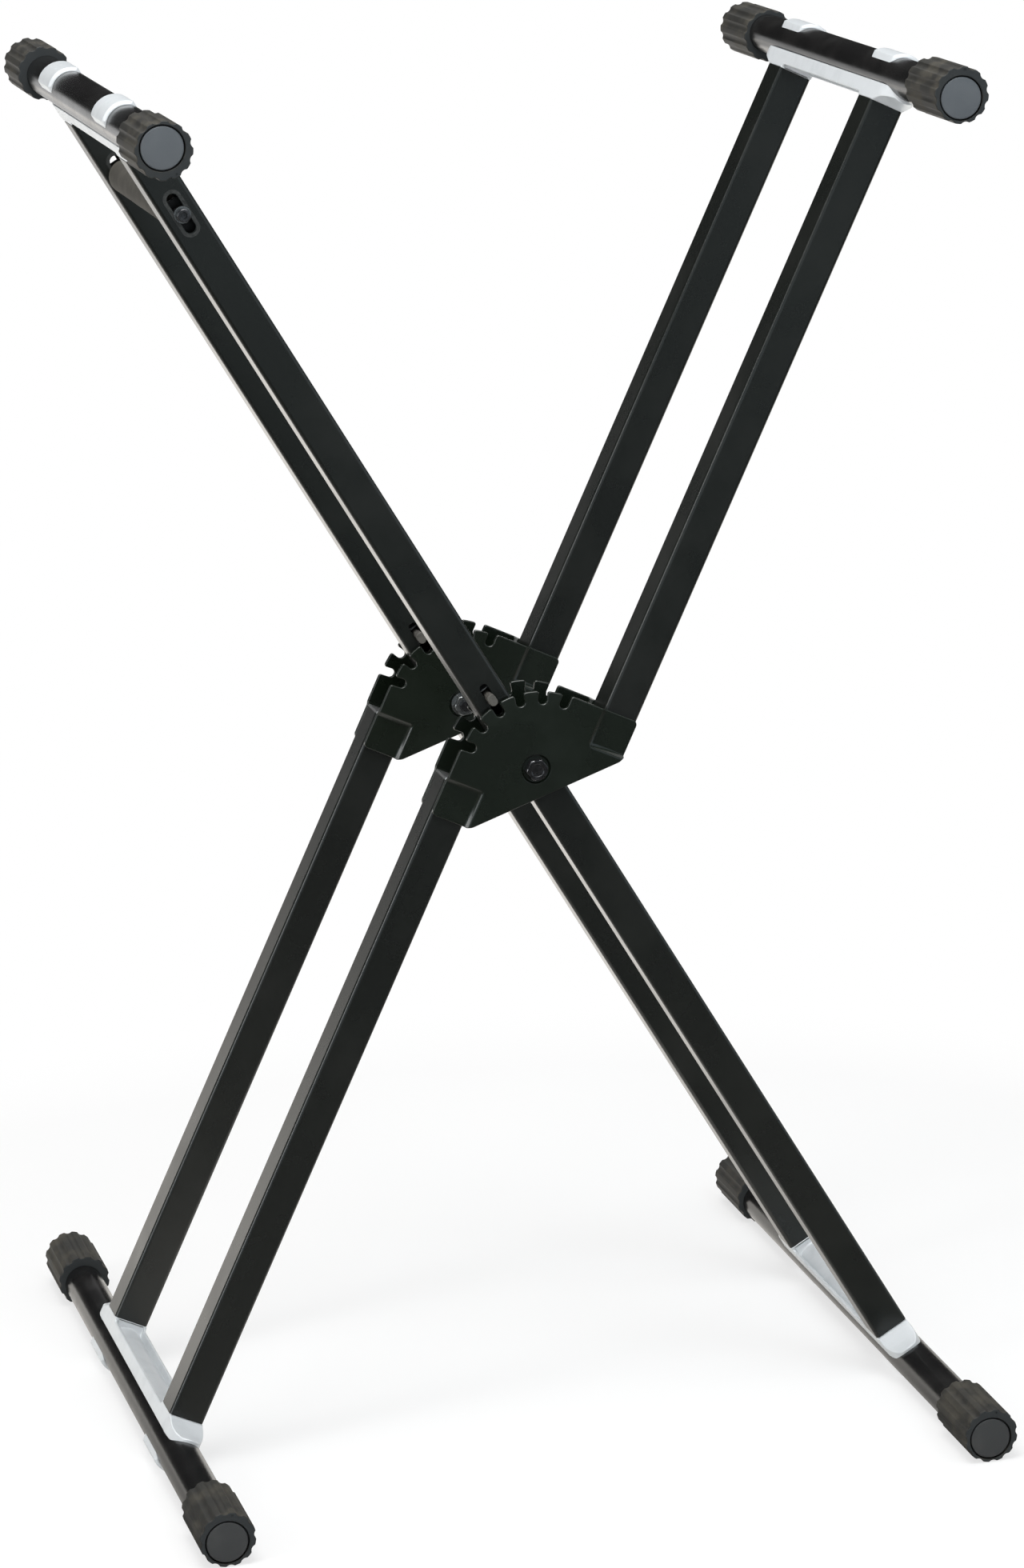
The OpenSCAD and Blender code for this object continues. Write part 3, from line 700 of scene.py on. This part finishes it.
def modelPad(settings):
    half, wide, crown = settings["halfLength"], settings["halfWidth"], -settings["outerRadius"]
    pad = rod(settings["outerRadius"], -half, half, sides=128)
    for end in (-half, half):
        bevelEdges(pad, lambda edge: edgeAt(edge, 1, end), settings["endChamfer"], 1)
    # The outline is a hair longer than the rod, so that no two faces lie in one plane
    spare = settings["outlineSpare"]
    outline = block((-wide, -half - spare, -30), (wide, half + spare, -5))
    bevelEdges(outline, lambda edge: edgeAlong(edge, 2), settings["corner"], 5)
    combine(pad, outline, "INTERSECT")
    soften(pad, settings["edge"], segments=2, angle=30)
    # Faint moulded ring over the tie bolt's head
    ringRadius = settings["ringRadius"]
    ring = rod(ringRadius, crown - 2, crown + settings["ringDepth"], sides=64, axis="Z")
    ringCore = rod(ringRadius - settings["ringWidth"], crown - 3, crown + 1, sides=64, axis="Z")
    combine(pad, combine(ring, ringCore))
    combine(pad, rod(settings["tubeRadius"], -40, 40, sides=128))
    pocketFloor = -settings["tubeRadius"] - settings["pocketDepth"]
    return combine(pad, rod(settings["pocketRadius"], pocketFloor, 0, sides=32, axis="Z"))


padModel = modelPad(padSet)
for key, (place, body) in crossPlaces.items():
    for sideName, side in sides.items():
        finished(copyOf(padModel), camel(key + "_pad") + sideName, atSide(place, side), body, "cast_silver",
                 [key + "_pad_" + sideName.lower()], smooth=32)
bpy.data.objects.remove(padModel)
print("Pads")


# Cross tubes, smooth all round
tubeSet = {
    "radius": 13.2,
    "wall": 1.6,
    "plugFace": 3.6,
    "boltHole": 3.2,
    "endEdge": 0.3,
}


def modelTube(settings, span):
    end = span / 2 - settings["plugFace"]
    tube = rod(settings["radius"], -end, end, sides=128)
    for level in (-end, end):
        bevelEdges(tube, lambda edge: edgeAt(edge, 1, level), settings["endEdge"], 2)
    combine(tube, rod(settings["radius"] - settings["wall"], -end - 5, end + 5, sides=96))
    for side in (-1, 1):
        hole = rod(settings["boltHole"], -30, 30, sides=24, axis="Z", at=(0, side * stand["armSpacing"] / 2))
        combine(tube, hole)
    return tube


for key, (place, body) in crossPlaces.items():
    span = stand["topSpan"] if key.endswith("top") else stand["bottomSpan"]
    finished(modelTube(tubeSet, span), camel(key + "_cross_tube"), place, body, "cross_tube_black",
             [key + "_cross_tube"], smooth=30)
print("Cross tubes")


# Ribbed levelling caps, modelled with the outer end at y = 0 and the thick side towards +X
capSet = {
    "length": 58.0,
    "radius": 18.1,
    "throw": 1.9,
    "flutes": 12,
    "fluteRadius": 3.9,
    "fluteDepth": 1.2,
    "boreRadius": 13.26,
    "mouthRadius": 14.2,
    "mouthDepth": 3.8,
    "mouthFlare": 0.35,
    "flareShare": 0.98,
    "rim": 0.7,
    "ribEdge": 0.28,
    "dotRadius": 0.8,
    "dotDepth": 0.35,
    "dotAt": 16.1,
}
capTurns = {
    "top_left": {"Front": -64, "Rear": 128},
    "top_right": {"Front": 82, "Rear": -62},
    "bottom_left": {"Front": 78, "Rear": 78},
    "bottom_right": {"Front": 78, "Rear": 78},
}


def modelCap(settings):
    radius, length, throw = settings["radius"], settings["length"], settings["throw"]
    cap = rod(radius, -length, 0, sides=144)
    fluteAt = radius - settings["fluteDepth"] + settings["fluteRadius"]
    flutes = []
    for number in range(settings["flutes"]):
        turn = radians((number + 0.5) * 360 / settings["flutes"])
        at = (fluteAt * cos(turn), fluteAt * sin(turn))
        flutes.append(rod(settings["fluteRadius"], -length - 5, 5, sides=48, at=at))
    combine(cap, joined(flutes))
    for end in (0, -length):
        bevelEdges(cap, lambda edge: edgeAt(edge, 1, end), settings["rim"], 3)
    soften(cap, settings["ribEdge"], segments=2, angle=42)
    put(cap, Matrix.Translation((throw, 0, 0)))
    combine(cap, rod(settings["boreRadius"], -length - 5, 5, sides=96))
    combine(cap, rod(settings["mouthRadius"], -settings["mouthDepth"], 5, sides=96))
    flare = settings["mouthFlare"]
    lip = rod(settings["mouthRadius"] + flare, -flare, 5, sides=96)
    combine(cap, bevelEdges(lip, lambda edge: edgeAt(edge, 1, -flare), flare * settings["flareShare"], 2))
    # Small index dot on the outer face, over the thick side
    dot = rod(settings["dotRadius"], -settings["dotDepth"], 2, sides=16, at=(throw + settings["dotAt"], 0))
    return combine(cap, dot)


capModels = {"Rear": modelCap(capSet)}
capModels["Front"] = mirrored(capModels["Rear"])
outerX = stand["outerReach"] * cos(outerLean) + stand["outerOffset"] * sin(outerLean)
innerX = stand["innerReach"] * cos(innerLean)
crossZ = stand["innerReach"] * sin(innerLean)
capAxes = {
    "top_left": (innerX, crossZ, stand["topSpan"]),
    "top_right": (outerX, crossZ, stand["topSpan"]),
    "bottom_left": (-outerX, -crossZ, stand["bottomSpan"]),
    "bottom_right": (-innerX, -crossZ, stand["bottomSpan"]),
}
for key, (x, z, span) in capAxes.items():
    for sideName, turn in capTurns[key].items():
        cap = turned(copyOf(capModels[sideName]), turn)
        place = foldPoint @ millimetres @ Matrix.Translation((x, sides[sideName] * span / 2, z))
        node = "cap_" + key + "_" + sideName.lower()
        finished(cap, camel("cap_" + key) + sideName, place, node, "cap_rubber", [node], smooth=34)
for capModel in capModels.values():
    bpy.data.objects.remove(capModel)
print("Levelling caps")


# Round plugs that close the cross tubes, modelled with their faces at y = 0
plugSet = {
    "radius": 13.3,
    "face": 3.6,
    "shankRadius": 11.55,
    "depth": 14.0,
    "rim": 0.9,
    "crown": 0.35,
    "crownRings": 5,
}


def modelPlug(settings):
    plug = rod(settings["radius"], -settings["face"], 0, sides=96)
    bevelEdges(plug, lambda edge: edgeAt(edge, 1, 0), settings["rim"], 4)
    # Slightly crowned face, in rings that rise less and less towards the middle
    rings = settings["crownRings"]
    startEdit(plug, "FACE")
    pickFaces(plug, lambda face: face.normal.y > 0.99 and len(face.verts) > 8)
    for ring in range(rings):
        bpy.ops.mesh.inset(thickness=settings["radius"] / (rings + 1))
        rise = settings["crown"] * (rings - ring) / (rings * (rings + 1) / 2)
        bpy.ops.transform.translate(value=(0, rise, 0))
    endEdit(plug)
    put(plug, Matrix.Translation((0, -settings["crown"], 0)))
    shankEnd = -settings["face"] - settings["depth"]
    return combine(plug, rod(settings["shankRadius"], shankEnd, -2, sides=64), "UNION")


plugModels = {"Rear": modelPlug(plugSet)}
plugModels["Front"] = mirrored(plugModels["Rear"])
for frameName, places in (("outer", (outerTop, outerBottom)), ("inner", (innerTop, innerBottom))):
    plugs = []
    for place, span in zip(places, (stand["topSpan"], stand["bottomSpan"])):
        for sideName, side in sides.items():
            end = Matrix.Translation((0, side * span / 2, 0))
            plugs.append(put(copyOf(plugModels[sideName]), place @ end))
    plugs = finished(joined(plugs), frameName + "EndPlugs", Matrix(), frameName + "_frame", "plug_plastic",
                     [frameName + "_end_plugs"])
    # The lower plugs take the darker plastic: painted shade for the dimmer light low down
    plugs.data.materials.append(finishes["worn_plug"])
    for face in plugs.data.polygons:
        face.material_index = 1 if face.center.z < foldPoint.translation.z else 0
for plugModel in plugModels.values():
    bpy.data.objects.remove(plugModel)
print("End plugs")


# Fold bolts with their nuts and washers, modelled with the bolt's head towards +Y
boltSet = {
    "seat": 17.0,
    "flats": 13.0,
    "headHeight": 5.3,
    "headRecess": 0.5,
    "recessRadius": 4.3,
    "recessFillet": 0.4,
    "shankRadius": 4.0,
    "shankChamfer": 0.7,
    "slack": 0.05,
    "washer": 1.5,
    "washerRadius": 8.0,
    "nutHeight": 6.5,
    "tip": 2.5,
    "chamfer": 0.85,
    "edge": 0.34,
}


def hexagon(flats, low, high, chamfered, chamfer):
    # Six-sided body whose corners are turned off at the levels named
    acrossCorners = flats / cos(radians(30))
    body = turned(rod(acrossCorners / 2, low, high, sides=6), 30)
    cone = rod(acrossCorners / 2, low, high, sides=96)
    for level in chamfered:
        bevelEdges(cone, lambda edge: edgeAt(edge, 1, level), chamfer, 1)
    return combine(body, cone, "INTERSECT")


def modelBolt(settings):
    seat, shank = settings["seat"], settings["shankRadius"]
    headTop = seat + settings["headHeight"]
    bolt = hexagon(settings["flats"], seat, headTop, (headTop,), settings["chamfer"])
    recessFloor = headTop - settings["headRecess"]
    recess = rod(settings["recessRadius"], recessFloor, headTop + 3, sides=64)
    bevelEdges(recess, lambda edge: edgeAt(edge, 1, recessFloor), settings["recessFillet"], 3)
    combine(bolt, recess)
    soften(bolt, settings["edge"], segments=2, angle=25)
    tip = -seat - settings["washer"] - settings["nutHeight"] - settings["tip"]
    shaft = rod(shank, tip, seat + 0.5, sides=48)
    bevelEdges(shaft, lambda edge: edgeAt(edge, 1, tip), settings["shankChamfer"], 2)
    return combine(bolt, shaft, "UNION")


def modelNut(settings):
    high = -settings["seat"] - settings["washer"]
    low = high - settings["nutHeight"]
    nut = hexagon(settings["flats"], low, high, (low, high), settings["chamfer"])
    soften(nut, settings["edge"], segments=2, angle=25)
    return combine(nut, rod(settings["shankRadius"] + settings["slack"], high - 20, high + 5, sides=48))


def modelWasher(inner, outer, low, high, edge=0.25):
    washer = rod(outer, low, high, sides=72)
    soften(washer, edge, segments=2, angle=50)
    return combine(washer, rod(inner, low - 3, high + 3, sides=48))


def atBothSides(model, place, name, body, slot, replaced):
    # A copy at the rear arm, and its mirror image at the front one
    pair = [put(mirrored(model), atSide(place, -1)), put(model, atSide(place, 1))]
    return finished(joined(pair), name, Matrix(), body, slot, replaced)


atBothSides(modelBolt(boltSet), outerFrame, "foldBolts", "outer_frame", "bolt_black_zinc", ["fold_bolts"])
atBothSides(modelNut(boltSet), outerFrame, "foldNuts", "outer_frame", "zinc", ["fold_nuts"])
atBothSides(modelWasher(boltSet["shankRadius"] + boltSet["slack"], boltSet["washerRadius"],
                        -boltSet["seat"] - boltSet["washer"], -boltSet["seat"]),
            outerFrame, "foldNutWashers", "outer_frame", "zinc", ["fold_nut_washers"])
print("Fold bolts")


# Height lock: pins and return springs in the inner arms
lockSet = {
    "pinLow": 52.1,
    "pinHigh": 60.1,
    "pinWidth": 5.5,
    "pinReach": 20.0,
    "pinCorner": 2.6,
    "pinEdge": 0.35,
    "springFrom": 60.3,
    "springLength": 40.0,
    "springRadius": 8.4,
    "springWire": 0.8,
    "springTurns": 10,
    "wireSides": 10,
    "stepsPerTurn": 28,
}


def modelPin(settings):
    halfWidth = settings["pinWidth"] / 2
    pin = block((settings["pinLow"], -settings["pinReach"], -halfWidth),
                (settings["pinHigh"], settings["pinReach"], halfWidth))
    bevelEdges(pin, lambda edge: edgeAlong(edge, 1), settings["pinCorner"], 6)
    return soften(pin, settings["pinEdge"], segments=2, angle=60)


for sideName, side in sides.items():
    node = "lock_pin_" + sideName.lower()
    finished(modelPin(lockSet), "lockPin" + sideName, atSide(innerFrame, side), "release", "lock_steel",
             [node], smooth=30)


def modelSpring(settings):
    # A small ring of wire, wound up along X by the Screw modifier
    wire, turns = settings["springWire"], settings["springTurns"]
    steps = settings["stepsPerTurn"] * turns
    start = (settings["springFrom"] + wire, 0, settings["springRadius"])
    deselectAll()
    bpy.ops.mesh.primitive_circle_add(
        vertices=settings["wireSides"], radius=wire, location=start, rotation=(pi / 2, 0, 0))
    spring = applied(bpy.context.object)
    modify(spring, "SCREW", axis="X", angle=2 * pi * turns, screw_offset=settings["springLength"] - 2 * wire,
           steps=steps, render_steps=steps, use_merge_vertices=False, use_normal_calculate=True)
    startEdit(spring, "EDGE")
    bpy.ops.mesh.select_all(action="SELECT")
    bpy.ops.mesh.fill_holes(sides=settings["wireSides"])
    return endEdit(spring, fixNormals=True)


springModel = modelSpring(lockSet)
for sideName, side in sides.items():
    node = "return_spring_" + sideName.lower()
    place = atSide(innerFrame, side)
    spring = finished(copyOf(springModel), "returnSpring" + sideName, place, None, "plain_steel", [node],
                      smooth=60)
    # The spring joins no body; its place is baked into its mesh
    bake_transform(spring)
bpy.data.objects.remove(springModel)
print("Height lock")


# Pull grip across the inner arms
gripSet = {
    "at": 432.9,
    "foamHalf": 82.6,
    "foamRadius": 11.25,
    "boreRadius": 6.05,
    "foamEdge": 2.2,
    "foamWaver": 0.14,
    "foamWaverSize": 24,
    "foamCuts": 40,
    "washerFrom": 13.2,
    "washerRadius": 5.5,
    "washerBore": 2.55,
    "washerHeight": 1.0,
    "headRadius": 4.25,
    "headHeight": 5.0,
    "headEdge": 0.6,
    "socketFlats": 4.0,
    "socketDepth": 2.5,
    "socketEdge": 0.15,
    "shankTo": -28.4,
    "shankRadius": 2.5,
}
gripPlace = innerFrame @ Matrix.Translation((gripSet["at"], 0, 0))


def modelFoam(settings):
    half = settings["foamHalf"]
    foam = rod(settings["foamRadius"], -half, half, sides=72)
    startEdit(foam, "EDGE")
    pickEdges(foam, lambda edge: edgeAlong(edge, 1))
    bpy.ops.mesh.subdivide(number_cuts=settings["foamCuts"])
    endEdit(foam)
    for end in (-half, half):
        bevelEdges(foam, lambda edge: edgeAt(edge, 1, end), settings["foamEdge"], 6)
    # Foam is never quite even along its length
    texture = bpy.data.textures.new("foamWaver", "CLOUDS")
    texture.noise_scale = settings["foamWaverSize"]
    modify(foam, "DISPLACE", texture=texture, strength=2 * settings["foamWaver"], mid_level=1.0,
           texture_coords="LOCAL")
    return combine(foam, rod(settings["boreRadius"], -half - 5, half + 5, sides=64))


foam = finished(modelFoam(gripSet), "gripSleeve", gripPlace, "release", "grip_foam", ["grip_sleeve"],
                smooth=50)


def modelCapScrew(settings):
    under = settings["washerFrom"] + settings["washerHeight"]
    top = under + settings["headHeight"]
    head = rod(settings["headRadius"], under, top, sides=64)
    bevelEdges(head, lambda edge: edgeAt(edge, 1, top), settings["headEdge"], 3)
    socketRadius = settings["socketFlats"] / 2 / cos(radians(30))
    combine(head, rod(socketRadius, top - settings["socketDepth"], top + 3, sides=6))
    soften(head, settings["socketEdge"], segments=2, angle=50)
    return combine(head, rod(settings["shankRadius"], settings["shankTo"], under + 0.5, sides=32), "UNION")


atBothSides(modelCapScrew(gripSet), gripPlace, "gripBolts", "release", "bolt_black_zinc", ["grip_bolts"])
atBothSides(modelWasher(gripSet["washerBore"], gripSet["washerRadius"], gripSet["washerFrom"],
                        gripSet["washerFrom"] + gripSet["washerHeight"], edge=0.2),
            gripPlace, "gripWashers", "release", "zinc", ["grip_washers"])
print("Pull grip")


# Camera at the photograph's place and angle of view
cameraSet = {
    "place": (-0.832673, -3.338819, 1.297723),
    "turn": (77.20511, 1.41343, -16.67505),
    "lens": 121.44,
    "sensor": 36,
    "shift": (-0.12060, -0.10029),
}


def makeCamera(settings):
    data = bpy.data.cameras.new("camera")
    data.sensor_fit = "VERTICAL"
    data.sensor_height = settings["sensor"]
    data.lens = settings["lens"]
    data.shift_x, data.shift_y = settings["shift"]
    camera = bpy.data.objects.new("camera", data)
    turn = Euler([radians(angle) for angle in settings["turn"]]).to_matrix().to_4x4()
    camera.matrix_world = Matrix.Translation(settings["place"]) @ turn
    bpy.context.scene.collection.objects.link(camera)
    bpy.context.scene.camera = camera


# The room's light, and what polished surfaces see of it; each pair is (from, to) in a direction's Y or Z
roomSet = {
    "light": 0.5,
    "dimGloss": 0.025,
    "topGloss": 4.0,
    "frontGloss": (0.80, 0.91, 0.98),
    "behind": (-0.1, 0.4),
    "sweep": (0.0, -0.08),
    "bandBottom": (-0.16, -0.06),
    "bandTop": (0.5, 0.1),
    "overhead": (0.62, 0.82),
}


def seenStraight(tree, path):
    # Camera and transmission rays, which see the plain white behind the stand
    return arithmetic(tree, "MAXIMUM", path["Is Camera Ray"], path["Is Transmission Ray"])


def gray(level):
    return rgb((level,) * 3)


def makeRoom(settings):
    # Plain soft light all round; polished surfaces see a pale sweep low behind and a dim room above
    world = bpy.data.worlds.new("room")
    world.use_nodes = True
    bpy.context.scene.world = world
    tree = world.node_tree
    tree.nodes.clear()
    out = addNode(tree, "ShaderNodeOutputWorld")
    place = splitVector(tree, coordinates(tree, "Generated"))
    behind = ramp(tree, place["Y"], *settings["behind"])
    sweep = arithmetic(tree, "MULTIPLY", behind, ramp(tree, place["Z"], *settings["sweep"]))
    band = arithmetic(tree, "MULTIPLY", ramp(tree, place["Z"], *settings["bandBottom"]),
                      ramp(tree, place["Z"], *settings["bandTop"]))
    front = mixed(tree, "RGBA", band, gray(settings["dimGloss"]), rgb(settings["frontGloss"]))
    back = mixed(tree, "RGBA", sweep, gray(settings["dimGloss"]), gray(1.0))
    around = mixed(tree, "RGBA", behind, front, back)
    overhead = ramp(tree, place["Z"], *settings["overhead"])
    gloss = mixed(tree, "RGBA", overhead, around, gray(settings["topGloss"]))
    path = addNode(tree, "ShaderNodeLightPath").outputs
    soft = mixed(tree, "RGBA", path["Is Glossy Ray"], gray(settings["light"]), gloss)
    light = addNode(tree, "ShaderNodeBackground")
    tree.links.new(mixed(tree, "RGBA", seenStraight(tree, path), soft, gray(1.0)), light.inputs["Color"])
    tree.links.new(light.outputs["Background"], out.inputs["Surface"])


# Fade is (from, to); front, back and under are (from, to, strength at from, strength at to)
floorSet = {
    "radius": 5.0,
    "color": (0.90, 0.90, 0.895),
    "roughness": 0.9,
    "specular": 0.1,
    "fade": (0.40, 0.85),
    "nearShare": 0.68,
    "front": (-1.5, -0.6, 0.04, 0.24),
    "back": (-0.5, 0.9, 0.0, 1.5),
    "under": (0.34, 0.12, 0.0, 1.0),
    "warmGloss": (1.0, 0.965, 0.91),
}


def makeFloor(settings):
    # Pale floor that carries the stand's shadow and turns to the sweep's plain white away from it
    deselectAll()
    bpy.ops.mesh.primitive_circle_add(vertices=96, radius=settings["radius"], fill_type="NGON")
    floor = bpy.context.object
    floor.name = "floor"
    material, tree = newMaterial("paleFloor")
    shader = tree.nodes["Principled BSDF"]
    shader.inputs["Base Color"].default_value = rgb(settings["color"])
    shader.inputs["Roughness"].default_value = settings["roughness"]
    shader.inputs["Specular IOR Level"].default_value = settings["specular"]
    place = coordinates(tree)
    length = addNode(tree, "ShaderNodeVectorMath", operation="LENGTH")
    tree.links.new(place, length.inputs[0])
    away = length.outputs["Value"]
    depth = splitVector(tree, place)["Y"]
    path = addNode(tree, "ShaderNodeLightPath").outputs
    glossy = path["Is Glossy Ray"]
    # Share of the plain sweep: all of what polished surfaces see, and none of what lights the stand
    plain = arithmetic(tree, "MAXIMUM", ramp(tree, away, *settings["fade"]), settings["nearShare"])
    seen = arithmetic(tree, "MAXIMUM", seenStraight(tree, path), glossy)
    share = arithmetic(tree, "MULTIPLY", arithmetic(tree, "MAXIMUM", plain, glossy), seen)
    front = ramp(tree, depth, *settings["front"])
    back = ramp(tree, depth, *settings["back"])
    under = ramp(tree, away, *settings["under"])
    level = mixed(tree, "FLOAT", glossy, 1.0,
                  arithmetic(tree, "ADD", front, arithmetic(tree, "MAXIMUM", back, under)))
    sweep = addNode(tree, "ShaderNodeEmission")
    tree.links.new(mixed(tree, "RGBA", glossy, gray(1.0), rgb(settings["warmGloss"])), sweep.inputs["Color"])
    tree.links.new(level, sweep.inputs["Strength"])
    blend = addNode(tree, "ShaderNodeMixShader")
    tree.links.new(share, blend.inputs["Fac"])
    tree.links.new(shader.outputs["BSDF"], blend.inputs[1])
    tree.links.new(sweep.outputs["Emission"], blend.inputs[2])
    tree.links.new(blend.outputs["Shader"], tree.nodes["Material Output"].inputs["Surface"])
    floor.data.materials.append(material)


cardSet = {
    "behind": 3.0,
    "width": 9,
    "height": 0.92,
    "fullBelow": 0.55,
    "gloss": 0.8,
}


def makeCard(settings):
    # Low pale card behind the stand, which only its polished surfaces see
    height = settings["height"]
    deselectAll()
    bpy.ops.mesh.primitive_plane_add(size=1, location=(0, settings["behind"], height / 2),
                                     rotation=(pi / 2, 0, 0), scale=(settings["width"], height, 1))
    card = applied(bpy.context.object)
    card.name = "card"
    material, tree = newMaterial("paleCard")
    tree.nodes.clear()
    level = splitVector(tree, coordinates(tree))["Z"]
    glow = addNode(tree, "ShaderNodeEmission")
    tree.links.new(ramp(tree, level, height, settings["fullBelow"], 0.0, settings["gloss"]),
                   glow.inputs["Strength"])
    tree.links.new(glow.outputs["Emission"], addNode(tree, "ShaderNodeOutputMaterial").inputs["Surface"])
    card.data.materials.append(material)
    card.visible_camera = card.visible_diffuse = card.visible_transmission = card.visible_shadow = False


softboxes = {
    "overheadSoftbox": {"place": (-0.4, -0.6, 2.6), "target": (0, 0, 0.4), "size": (1.35, 1.35),
                        "power": 42},
    "frontSoftbox": {"place": (0.6, -1.3, 1.75), "target": (0, 0, 0.75), "size": (0.8, 0.8), "power": 9,
                     "color": (0.84, 0.93, 1.0), "glossy": False},
    "leftSoftbox": {"place": (-2.6, -0.9, 1.2), "target": (0, 0, 0.5), "size": (0.6, 1.6), "power": 24},
}


def makeSoftbox(name, place, target, size, power, color=(1, 1, 1), glossy=True):
    deselectAll()
    bpy.ops.object.light_add(type="AREA", location=place)
    lamp = bpy.context.object
    lamp.name = name
    lamp.data.shape = "RECTANGLE"
    lamp.data.size, lamp.data.size_y = size
    lamp.data.energy = power
    lamp.data.color = color
    lamp.visible_camera = False
    lamp.visible_glossy = glossy
    lamp.rotation_euler = (Vector(target) - lamp.location).to_track_quat("-Z", "Y").to_euler()


makeCamera(cameraSet)
makeRoom(roomSet)
makeFloor(floorSet)
makeCard(cardSet)
for name, settings in softboxes.items():
    makeSoftbox(name, **settings)
bpy.context.scene.view_settings.view_transform = "Standard"
print("Camera, lights and floor made")
